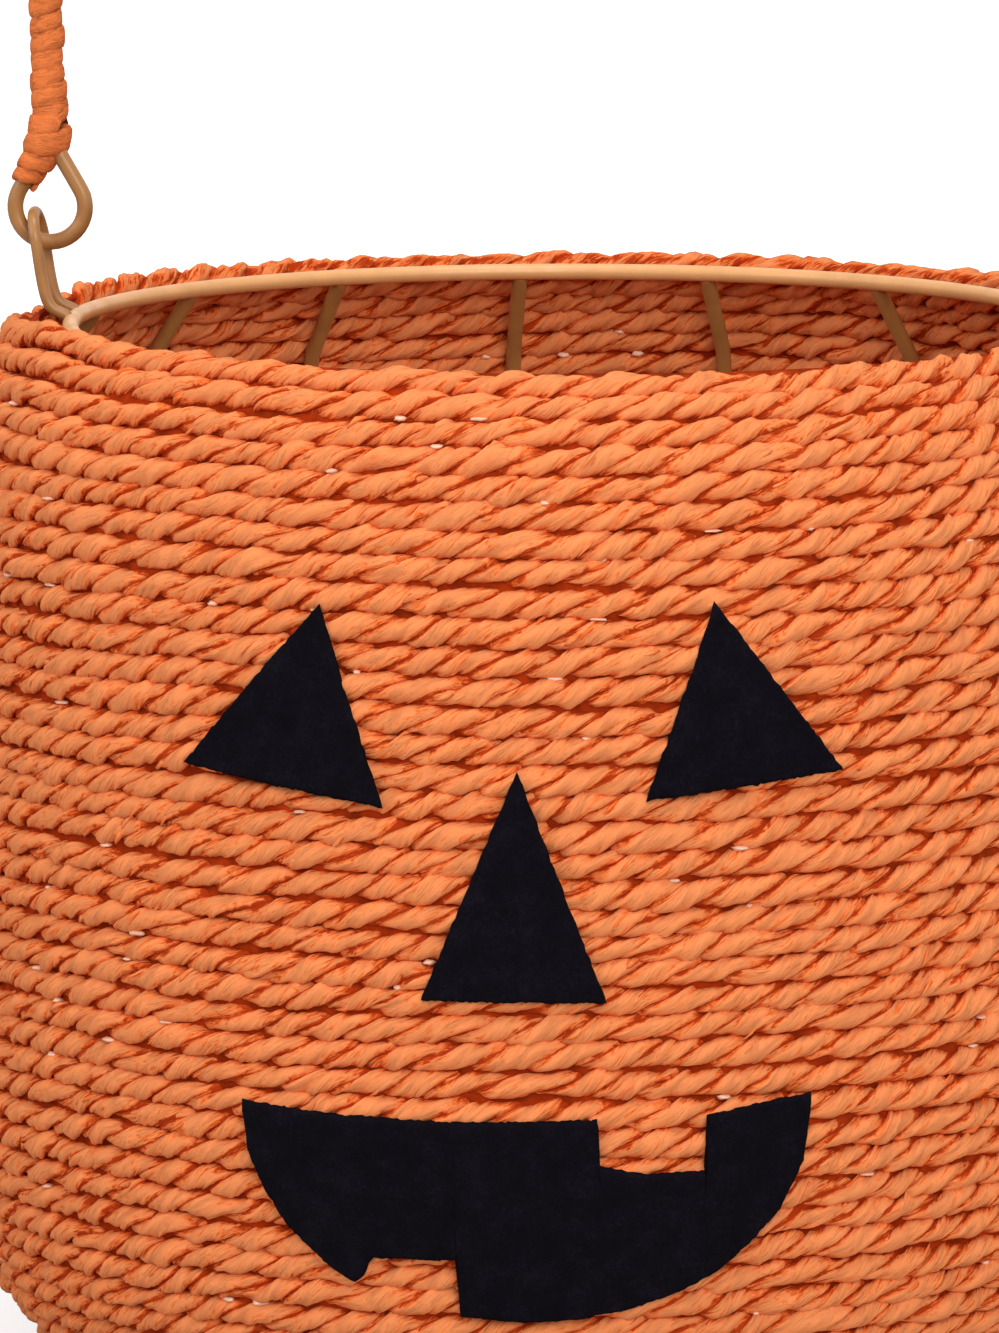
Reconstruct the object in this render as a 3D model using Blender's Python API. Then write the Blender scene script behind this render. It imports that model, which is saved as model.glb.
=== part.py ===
"""Jack-o-lantern treat basket: paper rope wound on a wire frame, with felt features and a swinging wire handle.

Metres, +Z up. The basket stands on z = 0 with its centre line on the Z axis, and its felt face looks along -Y.
"""
import math

import bmesh
import bpy
import numpy as np
from mathutils import Vector, kdtree

# Air between pieces that touch on the real basket
GAP = 0.0003

# Wire frame
RING_WIRE = 0.0031
RING_RADIUS = 0.0924
RING_HEIGHT = 0.1915
RING_SEGMENTS = 48
RIB_WIRE = 0.0030
RIB_COUNT = 16
RIB_POINTS = 9
RIB_TOP_ROOM = 0.0100
BASE_WIRE = 0.0030
BASE_RING_RADIUS = 0.0720
BASE_RING_SEGMENTS = 40

# Paper rope: one cord, from the middle of the base out, round the heel and up to the mouth
ROPE_DIAMETER = 0.0045
ROPE_PITCH = 0.0050
ROPE_START_RADIUS = 0.0045
ROPE_END_AZIMUTH = 170.0
LOOP_POINTS = 18
FOOT_CUT = ROPE_DIAMETER / 10
HEEL_TURNS = 2.0

# Outline of the wall, at the outside of the rope
BELLY_RADIUS = 0.1175
BELLY_HEIGHT = 0.0970
BASE_RADIUS = 0.0785
HEEL_SQUARENESS = 3.1
SHOULDER_SQUARENESS = 3.0
SHOULDER_SHARE = 0.98
RIM_ROOM = 0.0010
RIM_RISE = 0.0022

# Ears on the top ring
EAR_WIRE = 0.0022
EAR_WIDTH = 0.0105
EAR_HEIGHT = 0.0196
EAR_LEAN = 0.0074
EAR_KNEE_OUT = 0.0044
EAR_KNEE_HEIGHT = 0.0037
EAR_FOOT_ANGLE = 50.0
EAR_SEGMENTS = 8

# Handle, whose wire ends in a teardrop eye at each side
HANDLE_WIRE = 0.0030
HANDLE_RISE = 0.1500
STEM_HEIGHT = 0.0520
STEM_SPLAY = 1.6
EYE_RADIUS = 0.00625
EYE_LENGTH = 0.0195
EYE_END_HEIGHT = 0.0164
EYE_INSET = 0.0029
EYE_PLAY = 0.0029
EYE_SEGMENTS = 8
NECK_BEND = 0.0045
NECK_POINTS = 4
ARCH_SEGMENTS = 20
WRAP_DIAMETER = 0.0064
WRAP_TAIL_HEIGHT = 0.0100

# Felt, as points (across the front at the belly, height)
FELT_THICKNESS = 0.0016
FELT_STEP = 0.0065
LEFT_EYE = [(-0.0354, 0.1537), (-0.0623, 0.1242), (-0.0229, 0.1189)]
RIGHT_EYE = [(0.0356, 0.1548), (0.0230, 0.1207), (0.0588, 0.1249)]
NOSE = [(0.0007, 0.1260), (-0.0162, 0.0853), (0.0164, 0.0853)]
MOUTH = [
    (-0.0503, 0.0655), (-0.0340, 0.0645), (-0.0120, 0.0640), (0.0148, 0.0648),
    (0.0153, 0.0566), (0.0225, 0.0551), (0.0341, 0.0554), (0.0337, 0.0652),
    (0.0435, 0.0671), (0.0530, 0.0683), (0.0533, 0.0640), (0.0517, 0.0560), (0.0476, 0.0477),
    (0.0425, 0.0422), (0.0370, 0.0375), (0.0300, 0.0339), (0.0210, 0.0308), (0.0120, 0.0290),
    (0.0020, 0.0282), (-0.0103, 0.0290), (-0.0103, 0.0392), (-0.0262, 0.0390),
    (-0.0277, 0.0357), (-0.0296, 0.0343), (-0.0341, 0.0368), (-0.0420, 0.0435),
    (-0.0463, 0.0500), (-0.0491, 0.0560),
]

# Places that follow from the sizes
ROPE_RADIUS = ROPE_DIAMETER / 2
ROPE_FLOOR = ROPE_RADIUS - FOOT_CUT
FACET_DIP = math.cos(math.pi / LOOP_POINTS)
MOUTH_RADIUS = (RING_RADIUS + RING_WIRE / 2 + RIM_ROOM + ROPE_RADIUS) / FACET_DIP
BASE_RING_HEIGHT = ROPE_FLOOR + ROPE_RADIUS + GAP + BASE_WIRE / 2
EAR_TOP_RADIUS = RING_RADIUS + EAR_LEAN
PIVOT_HEIGHT = RING_HEIGHT + EAR_HEIGHT - (EAR_WIRE + HANDLE_WIRE) / 2 - EYE_PLAY
PIVOT_RADIUS = EAR_TOP_RADIUS - EYE_INSET

# Colours and finishes: name to (colour, roughness, metallic)
FINISHES = {
    "paper_rope": ((0.78, 0.21, 0.055), 0.85, 0.0),
    "paper_twine": ((0.75, 0.20, 0.055), 0.85, 0.0),
    "painted_wire": ((0.42, 0.22, 0.085), 0.42, 0.0),
    "felt": ((0.012, 0.011, 0.015), 0.95, 0.0),
}


def clear_scene():
    for thing in list(bpy.data.objects):
        bpy.data.objects.remove(thing, do_unlink=True)


def finish(name):
    """The material of that finish, made at its first use."""
    material = bpy.data.materials.get(name)
    if material is None:
        colour, roughness, metallic = FINISHES[name]
        material = bpy.data.materials.new(name)
        material.use_nodes = True
        shader = material.node_tree.nodes["Principled BSDF"]
        shader.inputs["Base Color"].default_value = (*colour, 1.0)
        shader.inputs["Roughness"].default_value = roughness
        shader.inputs["Metallic"].default_value = metallic
    return material


def add_object(name, data, finish_name):
    thing = bpy.data.objects.new(name, data)
    bpy.context.scene.collection.objects.link(thing)
    if finish_name is not None:
        data.materials.append(finish(finish_name))
    return thing


def add_wire(name, points, diameter, finish_name, closed=False, sides=8):
    """Round wire along straight pieces between the points, with filled ends."""
    curve = bpy.data.curves.new(name, "CURVE")
    curve.dimensions = "3D"
    curve.bevel_depth = diameter / 2
    curve.bevel_resolution = (sides - 4) // 2
    curve.use_fill_caps = True
    spline = curve.splines.new("POLY")
    spline.points.add(len(points) - 1)
    for spot, point in zip(spline.points, points):
        spot.co = (*point, 1.0)
    spline.use_cyclic_u = closed
    spline.use_smooth = True
    return add_object(name, curve, finish_name)


def wire_as_mesh(name, points, diameter, finish_name, sides=8):
    """The same round wire, turned into a mesh so that it can be cut."""
    source = add_wire(name + "_path", points, diameter, None, sides=sides)
    bpy.context.view_layer.update()
    mesh = bpy.data.meshes.new_from_object(source.evaluated_get(bpy.context.evaluated_depsgraph_get()))
    bpy.data.objects.remove(source, do_unlink=True)
    mesh.name = name
    mesh.materials.clear()
    return add_object(name, mesh, finish_name)


def circle_points(radius, height, count):
    turns = [2 * math.pi * i / count for i in range(count)]
    return [(radius * math.cos(t), radius * math.sin(t), height) for t in turns]


def wall_profile(samples=1500):
    """Centre line of the rope seen from the side, from the middle of the base to the mouth.

    Returns distance along it, radius, height, and the outward normal's two parts. The base is flat, the heel and
    the shoulder are quarters of superellipses that meet upright at the belly.
    """
    foot = BASE_RADIUS - ROPE_RADIUS
    belly = BELLY_RADIUS - ROPE_RADIUS
    flat_r = np.linspace(0.0, foot, samples, endpoint=False)
    flat_z = np.full(samples, ROPE_FLOOR)
    turn = np.linspace(0.0, math.pi / 2, samples, endpoint=False)
    heel_r = foot + (belly - foot) * np.sin(turn) ** (2 / HEEL_SQUARENESS)
    heel_z = BELLY_HEIGHT - (BELLY_HEIGHT - ROPE_FLOOR) * np.cos(turn) ** (2 / HEEL_SQUARENESS)
    share = np.linspace(0.0, 1.0, samples) * SHOULDER_SHARE
    round_in = 1 - (1 - share ** SHOULDER_SQUARENESS) ** (1 / SHOULDER_SQUARENESS)
    shoulder_r = belly - (belly - MOUTH_RADIUS) * round_in / round_in[-1]
    shoulder_z = BELLY_HEIGHT + (RING_HEIGHT + RIM_RISE - BELLY_HEIGHT) * share / SHOULDER_SHARE
    radius = np.concatenate([flat_r, heel_r, shoulder_r])
    height = np.concatenate([flat_z, heel_z, shoulder_z])
    distance = np.concatenate([[0.0], np.cumsum(np.hypot(np.diff(radius), np.diff(height)))])
    along_r = np.gradient(radius, distance)
    along_z = np.gradient(height, distance)
    length = np.hypot(along_r, along_z)
    return distance, radius, height, along_z / length, -along_r / length


PROFILE = wall_profile()


def on_profile(distance, offset=0.0):
    """Radius and height of points at those distances, moved outward by the offset."""
    track, radius, height, normal_r, normal_z = PROFILE
    out_r = np.interp(distance, track, normal_r)
    out_z = np.interp(distance, track, normal_z)
    length = np.hypot(out_r, out_z)
    r = np.interp(distance, track, radius) + offset * out_r / length
    z = np.interp(distance, track, height) + offset * out_z / length
    return r, z


def distance_at_height(height):
    """Distance along the profile of a point of the wall at that height."""
    track, _, heights, _, _ = PROFILE
    start = np.searchsorted(track, BASE_RADIUS - ROPE_RADIUS)
    return np.interp(height, heights[start:], track[start:])


def cord_section(flat_outside):
    """Corners of the faceted cord as (along the profile, outward), anticlockwise from the next row's side."""
    if flat_outside:
        flat = ROPE_RADIUS - FOOT_CUT
        return np.array([
            (ROPE_RADIUS, 0.0), (FOOT_CUT, flat), (-FOOT_CUT, flat), (-ROPE_RADIUS, 0.0), (0.0, -ROPE_RADIUS)])
    return np.array([(ROPE_RADIUS, 0.0), (0.0, ROPE_RADIUS), (-ROPE_RADIUS, 0.0), (0.0, -ROPE_RADIUS)])


def rope_sections(distances, azimuths, section):
    """Corners of the cord at each step of the winding, as an array of steps by corners by three."""
    track, radius, height, normal_r, normal_z = PROFILE
    out_r = np.interp(distances, track, normal_r)
    out_z = np.interp(distances, track, normal_z)
    length = np.hypot(out_r, out_z)
    out_r, out_z = out_r / length, out_z / length
    along, outward = section[:, 0], section[:, 1]
    r = np.interp(distances, track, radius)[:, None] - out_z[:, None] * along + out_r[:, None] * outward
    z = np.interp(distances, track, height)[:, None] + out_r[:, None] * along + out_z[:, None] * outward
    turn = azimuths[:, None]
    return np.stack([r * np.cos(turn), r * np.sin(turn), z], axis=-1)


def half_step_end(inner, outer):
    """Corners halfway between two steps, drawn back towards the inner step by half the gap."""
    step = (outer - inner).mean(axis=0)
    return (inner + outer) / 2 - step / np.linalg.norm(step) * GAP / 2


def add_loft(name, sections, finish_name):
    """Closed solid through the sections, with a flat face at each end."""
    count, corners, _ = sections.shape
    faces = [tuple(range(corners)), tuple((count - 1) * corners + j for j in range(corners))]
    for i in range(count - 1):
        for j in range(corners):
            k = (j + 1) % corners
            faces.append((i * corners + j, i * corners + k, (i + 1) * corners + k, (i + 1) * corners + j))
    mesh = bpy.data.meshes.new(name)
    mesh.from_pydata(sections.reshape(-1, 3).tolist(), [], faces)
    form = bmesh.new()
    form.from_mesh(mesh)
    bmesh.ops.recalc_face_normals(form, faces=form.faces)
    form.to_mesh(mesh)
    form.free()
    return add_object(name, mesh, finish_name)


def least_self_gap(sections):
    """Least distance between points of the winding that are more than half a loop apart."""
    middles = (sections[:-1] + sections[1:]) / 2
    points = np.concatenate([sections, middles])
    steps = np.concatenate([np.arange(len(sections)), np.arange(len(middles)) + 0.5])
    corners = sections.shape[1]
    tree = kdtree.KDTree(points.shape[0] * corners)
    for index, point in enumerate(points.reshape(-1, 3)):
        tree.insert(point, index)
    tree.balance()
    least = ROPE_DIAMETER
    for index, point in enumerate(points.reshape(-1, 3)):
        for _, other, distance in tree.find_range(point, least):
            if abs(steps[index // corners] - steps[other // corners]) > LOOP_POINTS / 2:
                least = min(least, distance)
    return least


def build_rope():
    """The winding, cut into three stretches: base and heel, wall up to the belly, wall up to the mouth."""
    mouth_distance = PROFILE[0][-1]
    step = ROPE_PITCH / LOOP_POINTS
    count = int((mouth_distance - ROPE_START_RADIUS) / step) + 1
    order = np.arange(count)
    distances = mouth_distance - (count - 1 - order) * step
    azimuths = math.radians(ROPE_END_AZIMUTH) - (count - 1 - order) * 2 * math.pi / LOOP_POINTS
    heel_end = int(np.searchsorted(distances, BASE_RADIUS + HEEL_TURNS * ROPE_PITCH))
    belly_end = int(np.searchsorted(distances, distance_at_height(BELLY_HEIGHT)))
    stretches = [
        ("rope_base", 0, heel_end, cord_section(True)),
        ("rope_wall_lower", heel_end, belly_end, cord_section(False)),
        ("rope_wall_upper", belly_end, count, cord_section(False)),
    ]
    for name, first, last, section in stretches:
        low = max(first - 1, 0)
        high = min(last + 1, count)
        rings = rope_sections(distances[low:high], azimuths[low:high], section)
        if low < first:
            rings = np.concatenate([half_step_end(rings[1], rings[0])[None], rings[1:]])
        if high > last:
            rings = np.concatenate([rings[:-1], half_step_end(rings[-2], rings[-1])[None]])
        add_loft(name, rings, "paper_rope")
        loops = (last - first) / LOOP_POINTS
        print(f"{name}: {loops:.1f} loops, least gap to itself {least_self_gap(rings) * 1000:.2f} mm")


def build_rings():
    add_wire("top_ring", circle_points(RING_RADIUS, RING_HEIGHT, RING_SEGMENTS), RING_WIRE,
             "painted_wire", closed=True)
    add_wire("base_ring", circle_points(BASE_RING_RADIUS, BASE_RING_HEIGHT, BASE_RING_SEGMENTS), BASE_WIRE,
             "painted_wire", closed=True, sides=6)


def build_base_wires():
    """Two crossed wires under the load: one inside the base ring, one laid over it."""
    inside = BASE_RING_RADIUS - BASE_WIRE / 2 - GAP
    add_wire("base_wire_lower", [(-inside, 0, BASE_RING_HEIGHT), (inside, 0, BASE_RING_HEIGHT)], BASE_WIRE,
             "painted_wire")
    over = BASE_RING_RADIUS + BASE_WIRE / 2
    height = BASE_RING_HEIGHT + BASE_WIRE + GAP
    add_wire("base_wire_upper", [(0, -over, height), (0, over, height)], BASE_WIRE, "painted_wire")


def rib_profile():
    """Centre line of a rib as (radius, height): from the base ring, up the inside of the rope, to the top ring."""
    start = BASE_RADIUS
    end = PROFILE[0][-1] - RIB_TOP_ROOM
    distances = np.linspace(start, end, RIB_POINTS)
    r, z = on_profile(distances, -(ROPE_RADIUS + GAP + RIB_WIRE / 2))
    inside_facets = r - (1 - FACET_DIP) * (r + RIB_WIRE / 2)
    foot = [(BASE_RING_RADIUS + (BASE_WIRE / 2 + GAP), BASE_RING_HEIGHT)]
    reach = Vector((inside_facets[-1] - RING_RADIUS, z[-1] - RING_HEIGHT)).normalized()
    reach *= RING_WIRE / 2 + GAP
    head = [(RING_RADIUS + reach.x, RING_HEIGHT + reach.y)]
    return foot + list(zip(inside_facets, z)) + head


def build_ribs():
    line = rib_profile()
    for number in range(RIB_COUNT):
        turn = math.radians(90) + (number + 0.5) * 2 * math.pi / RIB_COUNT
        points = [(r * math.cos(turn), r * math.sin(turn), z) for r, z in line]
        add_wire(f"rib_{number + 1:02d}", points, RIB_WIRE, "painted_wire", sides=6)


def ear_points(side):
    """A narrow upturned U standing on the outer side of the top ring; side is -1 for the left ear."""
    half = EAR_WIDTH / 2
    ring_x = math.sqrt(RING_RADIUS ** 2 - half ** 2)
    foot = RING_WIRE / 2 + GAP
    angle = math.radians(EAR_FOOT_ANGLE)
    leg = [
        (ring_x + foot * math.cos(angle), RING_HEIGHT + foot * math.sin(angle)),
        (RING_RADIUS + EAR_KNEE_OUT, RING_HEIGHT + EAR_KNEE_HEIGHT),
    ]
    slope = (EAR_LEAN - EAR_KNEE_OUT) / (EAR_HEIGHT - EAR_KNEE_HEIGHT)
    points = [(side * x, -half, z) for x, z in leg]
    for i in range(EAR_SEGMENTS + 1):
        turn = math.pi * i / EAR_SEGMENTS
        rise = EAR_HEIGHT - half + half * math.sin(turn)
        x = RING_RADIUS + EAR_KNEE_OUT + slope * (rise - EAR_KNEE_HEIGHT)
        points.append((side * x, -half * math.cos(turn), RING_HEIGHT + rise))
    points += [(side * x, half, z) for x, z in reversed(leg)]
    return points


def build_ears():
    add_wire("ear_left", ear_points(-1), EAR_WIRE, "painted_wire")
    add_wire("ear_right", ear_points(1), EAR_WIRE, "painted_wire")


def bend_points(start, corner, end, count):
    """Points of a smooth bend (a quadratic curve) that replaces the corner."""
    shares = [i / (count - 1) for i in range(count)]
    return [(1 - t) ** 2 * start + 2 * t * (1 - t) * corner + t ** 2 * end for t in shares]


def side_of_handle():
    """Half of the handle's wire as (outward from the eye's middle, above the pivot), and the wrap's first index.

    The wire starts at the top of the eye's inner leg, goes down round the eye, up its outer leg and into the stem.
    """
    apex = Vector((0.0, EYE_LENGTH))
    half_angle = math.asin(EYE_RADIUS / (EYE_LENGTH - EYE_RADIUS))
    leg = Vector((math.sin(half_angle), -math.cos(half_angle)))
    reach = (EYE_LENGTH - EYE_END_HEIGHT) / math.cos(half_angle)
    points = [Vector((-leg.x, leg.y)) * reach + apex]
    for i in range(EYE_SEGMENTS + 1):
        turn = math.pi - half_angle + (math.pi + 2 * half_angle) * i / EYE_SEGMENTS
        points.append(Vector((EYE_RADIUS * math.cos(turn), EYE_RADIUS + EYE_RADIUS * math.sin(turn))))
    wrap_first = len(points)
    points.append(apex + leg * (EYE_LENGTH - WRAP_TAIL_HEIGHT) / math.cos(half_angle))
    splay = math.tan(math.radians(STEM_SPLAY))
    stem = Vector((splay, 1.0)).normalized()
    points += bend_points(apex + leg * NECK_BEND, apex, apex + stem * NECK_BEND, NECK_POINTS)
    points.append(apex + stem * (STEM_HEIGHT - EYE_LENGTH))
    return points, wrap_first


def handle_points():
    """The whole handle's wire, from the left eye over the arch to the right eye, and the wrap's first index."""
    side, wrap_first = side_of_handle()
    shoulder = side[-1]
    half_span = PIVOT_RADIUS + shoulder.x
    rise = HANDLE_RISE - shoulder.y
    left = [(-PIVOT_RADIUS - p.x, 0.0, PIVOT_HEIGHT + p.y) for p in side]
    right = [(PIVOT_RADIUS + p.x, 0.0, PIVOT_HEIGHT + p.y) for p in reversed(side)]
    arch = []
    for i in range(1, ARCH_SEGMENTS):
        turn = math.pi * i / ARCH_SEGMENTS
        x = -half_span * math.cos(turn)
        arch.append((x, 0.0, PIVOT_HEIGHT + shoulder.y + rise * math.sin(turn)))
    return left + arch + right, wrap_first


def build_handle():
    """Handle wire and the paper twine wound tightly round it, both carried by an empty on the pivot."""
    pivot = bpy.data.objects.new("handle_pivot", None)
    bpy.context.scene.collection.objects.link(pivot)
    pivot.location = (0.0, 0.0, PIVOT_HEIGHT)
    shift = Vector((0.0, 0.0, PIVOT_HEIGHT))
    points, wrap_first = handle_points()
    points = [Vector(p) - shift for p in points]
    wire = add_wire("handle_wire", points, HANDLE_WIRE, "painted_wire")
    wrap = wire_as_mesh("handle_wrap", points[wrap_first:-wrap_first], WRAP_DIAMETER, "paper_twine")
    longer = list(points)
    longer[0] = points[0] + (points[0] - points[1]).normalized() * GAP
    longer[-1] = points[-1] + (points[-1] - points[-2]).normalized() * GAP
    bore = wire_as_mesh("handle_bore", longer, HANDLE_WIRE + 2 * GAP, None)
    bore.hide_render = True
    bore.display_type = "WIRE"
    cut = wrap.modifiers.new("bore", "BOOLEAN")
    cut.operation = "DIFFERENCE"
    cut.solver = "EXACT"
    cut.use_self = True
    cut.object = bore
    for thing in (wire, wrap, bore):
        thing.parent = pivot


def add_felt(name, outline):
    """A flat felt shape laid on the wall: cut into a grid, bent to the wall, then given its thickness."""
    mesh = bpy.data.meshes.new(name)
    form = bmesh.new()
    form.faces.new([form.verts.new((x, 0.0, z)) for x, z in outline])
    spans = [(min(p[i] for p in outline), max(p[i] for p in outline)) for i in (0, 1)]
    for (low, high), normal in zip(spans, (Vector((1, 0, 0)), Vector((0, 0, 1)))):
        cuts = math.ceil((high - low) / FELT_STEP)
        for i in range(1, cuts):
            place = normal * (low + (high - low) * i / cuts)
            bmesh.ops.bisect_plane(form, geom=form.verts[:] + form.edges[:] + form.faces[:], dist=1e-6,
                                   plane_co=place, plane_no=normal)
    inner = form.verts[:]
    flat = {vert: (vert.co.x, vert.co.z) for vert in inner}
    bend_to_wall(flat, ROPE_RADIUS + GAP)
    grown = bmesh.ops.extrude_face_region(form, geom=form.faces[:], use_keep_orig=True)
    outer = [item for item in grown["geom"] if isinstance(item, bmesh.types.BMVert)]
    partners = {tuple(vert.co): flat[vert] for vert in inner}
    bend_to_wall({vert: partners[tuple(vert.co)] for vert in outer}, ROPE_RADIUS + GAP + FELT_THICKNESS)
    bmesh.ops.recalc_face_normals(form, faces=form.faces)
    form.to_mesh(mesh)
    form.free()
    add_object(name, mesh, "felt")


def bend_to_wall(places, offset):
    """Move each vertex to its place (across, height) on the wall, outward of the rope's centre by the offset."""
    for vert, (across, height) in places.items():
        r, z = on_profile(distance_at_height(height), offset)
        turn = across / BELLY_RADIUS - math.pi / 2
        vert.co = (r * math.cos(turn), r * math.sin(turn), z)


def build_face():
    add_felt("felt_left_eye", LEFT_EYE)
    add_felt("felt_right_eye", RIGHT_EYE)
    add_felt("felt_nose", NOSE)
    add_felt("felt_mouth", MOUTH)


def main():
    clear_scene()
    build_rope()
    build_rings()
    build_base_wires()
    build_ribs()
    build_ears()
    build_handle()
    build_face()


main()
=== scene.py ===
"""Looks of the jack-o-lantern rope basket: twisted paper rope, painted wire, wrapped handle, felt and glue.

Lengths are in metres and +Z is up. The frame that is loaded first gives the places of the wires and the wall.
"""
import math

import bpy
import numpy as np
from bpy.props import FloatProperty, FloatVectorProperty, IntProperty, PointerProperty
from bpy.types import Operator, Panel, PropertyGroup
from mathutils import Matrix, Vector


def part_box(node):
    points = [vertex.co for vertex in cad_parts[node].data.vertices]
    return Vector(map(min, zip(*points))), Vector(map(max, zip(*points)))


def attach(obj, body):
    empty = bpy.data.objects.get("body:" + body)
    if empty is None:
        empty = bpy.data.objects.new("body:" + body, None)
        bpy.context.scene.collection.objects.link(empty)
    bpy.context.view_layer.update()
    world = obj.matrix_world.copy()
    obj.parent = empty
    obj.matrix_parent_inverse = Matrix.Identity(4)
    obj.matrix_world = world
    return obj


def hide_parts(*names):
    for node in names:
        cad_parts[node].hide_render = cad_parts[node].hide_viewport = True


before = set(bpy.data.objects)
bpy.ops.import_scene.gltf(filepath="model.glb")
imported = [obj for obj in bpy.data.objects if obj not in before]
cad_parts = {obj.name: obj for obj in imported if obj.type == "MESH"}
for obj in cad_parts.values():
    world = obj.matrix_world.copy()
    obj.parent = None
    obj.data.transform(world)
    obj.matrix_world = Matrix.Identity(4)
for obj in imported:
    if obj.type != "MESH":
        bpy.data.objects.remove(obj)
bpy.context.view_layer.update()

bl_info = {
    "name": "Rope Basket",
    "version": (1, 0, 0),
    "blender": (4, 5, 0),
    "location": "View3D > Sidebar > Basket",
    "description": "Winds, paints and dresses a jack-o-lantern basket of paper rope",
    "category": "Object",
}


def span(node, axis):
    """How far the node reaches along an axis (0, 1 or 2)."""
    low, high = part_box(node)
    return high[axis] - low[axis]


def middle(node, axis):
    low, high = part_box(node)
    return (high[axis] + low[axis]) / 2


# Frame wires, as the model has them
RING_WIRE = span("top_ring", 2)
RING_RADIUS = (span("top_ring", 0) - RING_WIRE) / 2
RING_HEIGHT = middle("top_ring", 2)
WIRE = span("base_wire_lower", 1)
EAR_WIRE = 0.0022
BASE_RING_RADIUS = span("base_ring", 0) / 2 - WIRE / 2
BASE_RING_HEIGHT = middle("base_ring", 2)
RIB_COUNT = sum(name.startswith("rib_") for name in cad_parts)
RIB_STRAIGHT = 0.021           # length of wall at the top that the ribs cross straight
RING_SAG = 0.0024              # how far the ring at the mouth sinks at the front

# Outline of the wall at the outside of the rope
BELLY_RADIUS = span("rope_wall_lower", 1) / 2
BELLY_HEIGHT = 0.0970
BASE_RADIUS = 0.0785
HEEL_SQUARENESS = 3.1
SHOULDER_SQUARENESS = 3.0
SHOULDER_SHARE = 0.98
RIM_RISE = 0.0022
RIM_ROOM = 0.0005
PROFILE_SAMPLES = 3000         # points each of the base, the heel and the shoulder

# Winding
ROPE_START_RADIUS = 0.0045
ROPE_END_AZIMUTH = math.radians(163)
TAIL_TURN = math.radians(6)
TAIL_SINK = 0.0012
RIM_FADE = 2.6                 # rows over which the ups and downs of the top row die away
EAR_REACH = 0.012
EAR_ROOM = 0.0008              # how far the top rows go round the foot of an ear
BULGE_AZIMUTH, BULGE_SPREAD, BULGE = 206, 8, 0.0020
STEP_IN_BASE = 0.0022
STEP_IN_WALL = 0.00105
LOOPS_PER_PIECE = 4
PATH_SAMPLES = 40000           # points of the path before it is cut into steps
ROPE_TAPER = 0.003             # length in which the rope's ends narrow
FRAYS_FROM, FRAYS_TO = 400, 120  # rings after the base and before the end that stay free of loose edges
# Ups and downs of the top row, as (azimuth in degrees, millimetres up the wall)
RIM_HEIGHTS = np.array([
    (0, -1.0), (40, -1.0), (55, -1.5), (70, -1.7), (85, -1.8), (100, -2.2), (120, -2.5), (130, -2.6),
    (141, -2.0), (150, -2.4), (158, -2.7), (165, -3.2), (175, -3.0), (185, -2.5), (193, -1.2), (199, -0.4),
    (205, 0.8), (213, 0.9), (221, 0.2), (228, 0.3), (236, 0.6), (243, 0.0), (250, -0.4), (258, -0.1),
    (266, -0.7), (276, -2.0), (285, -1.9), (296, -2.6), (301, -2.0), (308, -1.5), (316, -1.8), (325, -1.5),
    (345, -1.1), (360, -1.0),
])

# Section of the rope
STRANDS = 2
LOBE_POINTS = 13
STRAND_WIDTH = 0.88            # width of the section over its height
NOTCH_DEPTH = 0.33
NOTCH_ANGLE = math.radians(13)
PRESSED = 0.12                 # how much the twist lingers where a strand lies flat on the wall
STRAND_GAP = 0.1               # distance between the strands on the UV map

# Ears and handle
EAR_WIDTH = 0.0105
EAR_HEIGHT = 0.0196
EAR_LEAN = 0.0074
EAR_KNEE_OUT = 0.0044
EAR_KNEE_HEIGHT = 0.0037
EAR_FOOT = 0.294               # how far out and up from the ring's middle an ear starts, in ring wires
PIVOT_HEIGHT = 0.2056
PIVOT_RADIUS = 0.0969
HANDLE_RISE = 0.1500
STEM_HEIGHT = 0.0520
STEM_SPLAY = 1.6
EYE_RADIUS = 0.0065
EYE_LENGTH = 0.0195
EYE_END_HEIGHT = 0.0164
NECK_BEND = 0.0045
WRAP_TAIL_HEIGHT = 0.0100
WRAP_COLUMNS = 14
WRAP_SQUARENESS = 0.8
WRAP_REST_HEIGHT = 0.245       # height, with the handle upright, of the wrap that comes down on the rim
WRAP_REST_SPREAD = 0.008
WRAP_REST_FLATNESS = 0.42      # share by which it is thinner there, to the front and back
WRAP_RINGS = 26                # rings of the twine in one turn round the wire

# Felt edges, as points (across the front at the belly, height)
LEFT_EYE_TOP = [(-0.0623, 0.1242), (-0.0354, 0.1537), (-0.0229, 0.1189)]
LEFT_EYE_BOTTOM = [(-0.0623, 0.1242), (-0.0229, 0.1189)]
RIGHT_EYE_TOP = [(0.0230, 0.1207), (0.0356, 0.1548), (0.0588, 0.1249)]
RIGHT_EYE_BOTTOM = [(0.0230, 0.1207), (0.0588, 0.1249)]
NOSE_TOP = [(-0.0162, 0.0853), (0.0007, 0.1260), (0.0164, 0.0853)]
NOSE_BOTTOM = [(-0.0162, 0.0853), (0.0164, 0.0853)]
MOUTH_TOP = [
    (-0.0503, 0.0655), (-0.0340, 0.0645), (-0.0120, 0.0640), (0.0148, 0.0648), (0.0153, 0.0566),
    (0.0225, 0.0551), (0.0337, 0.0554), (0.0341, 0.0652), (0.0435, 0.0671), (0.0533, 0.0683),
]
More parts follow.
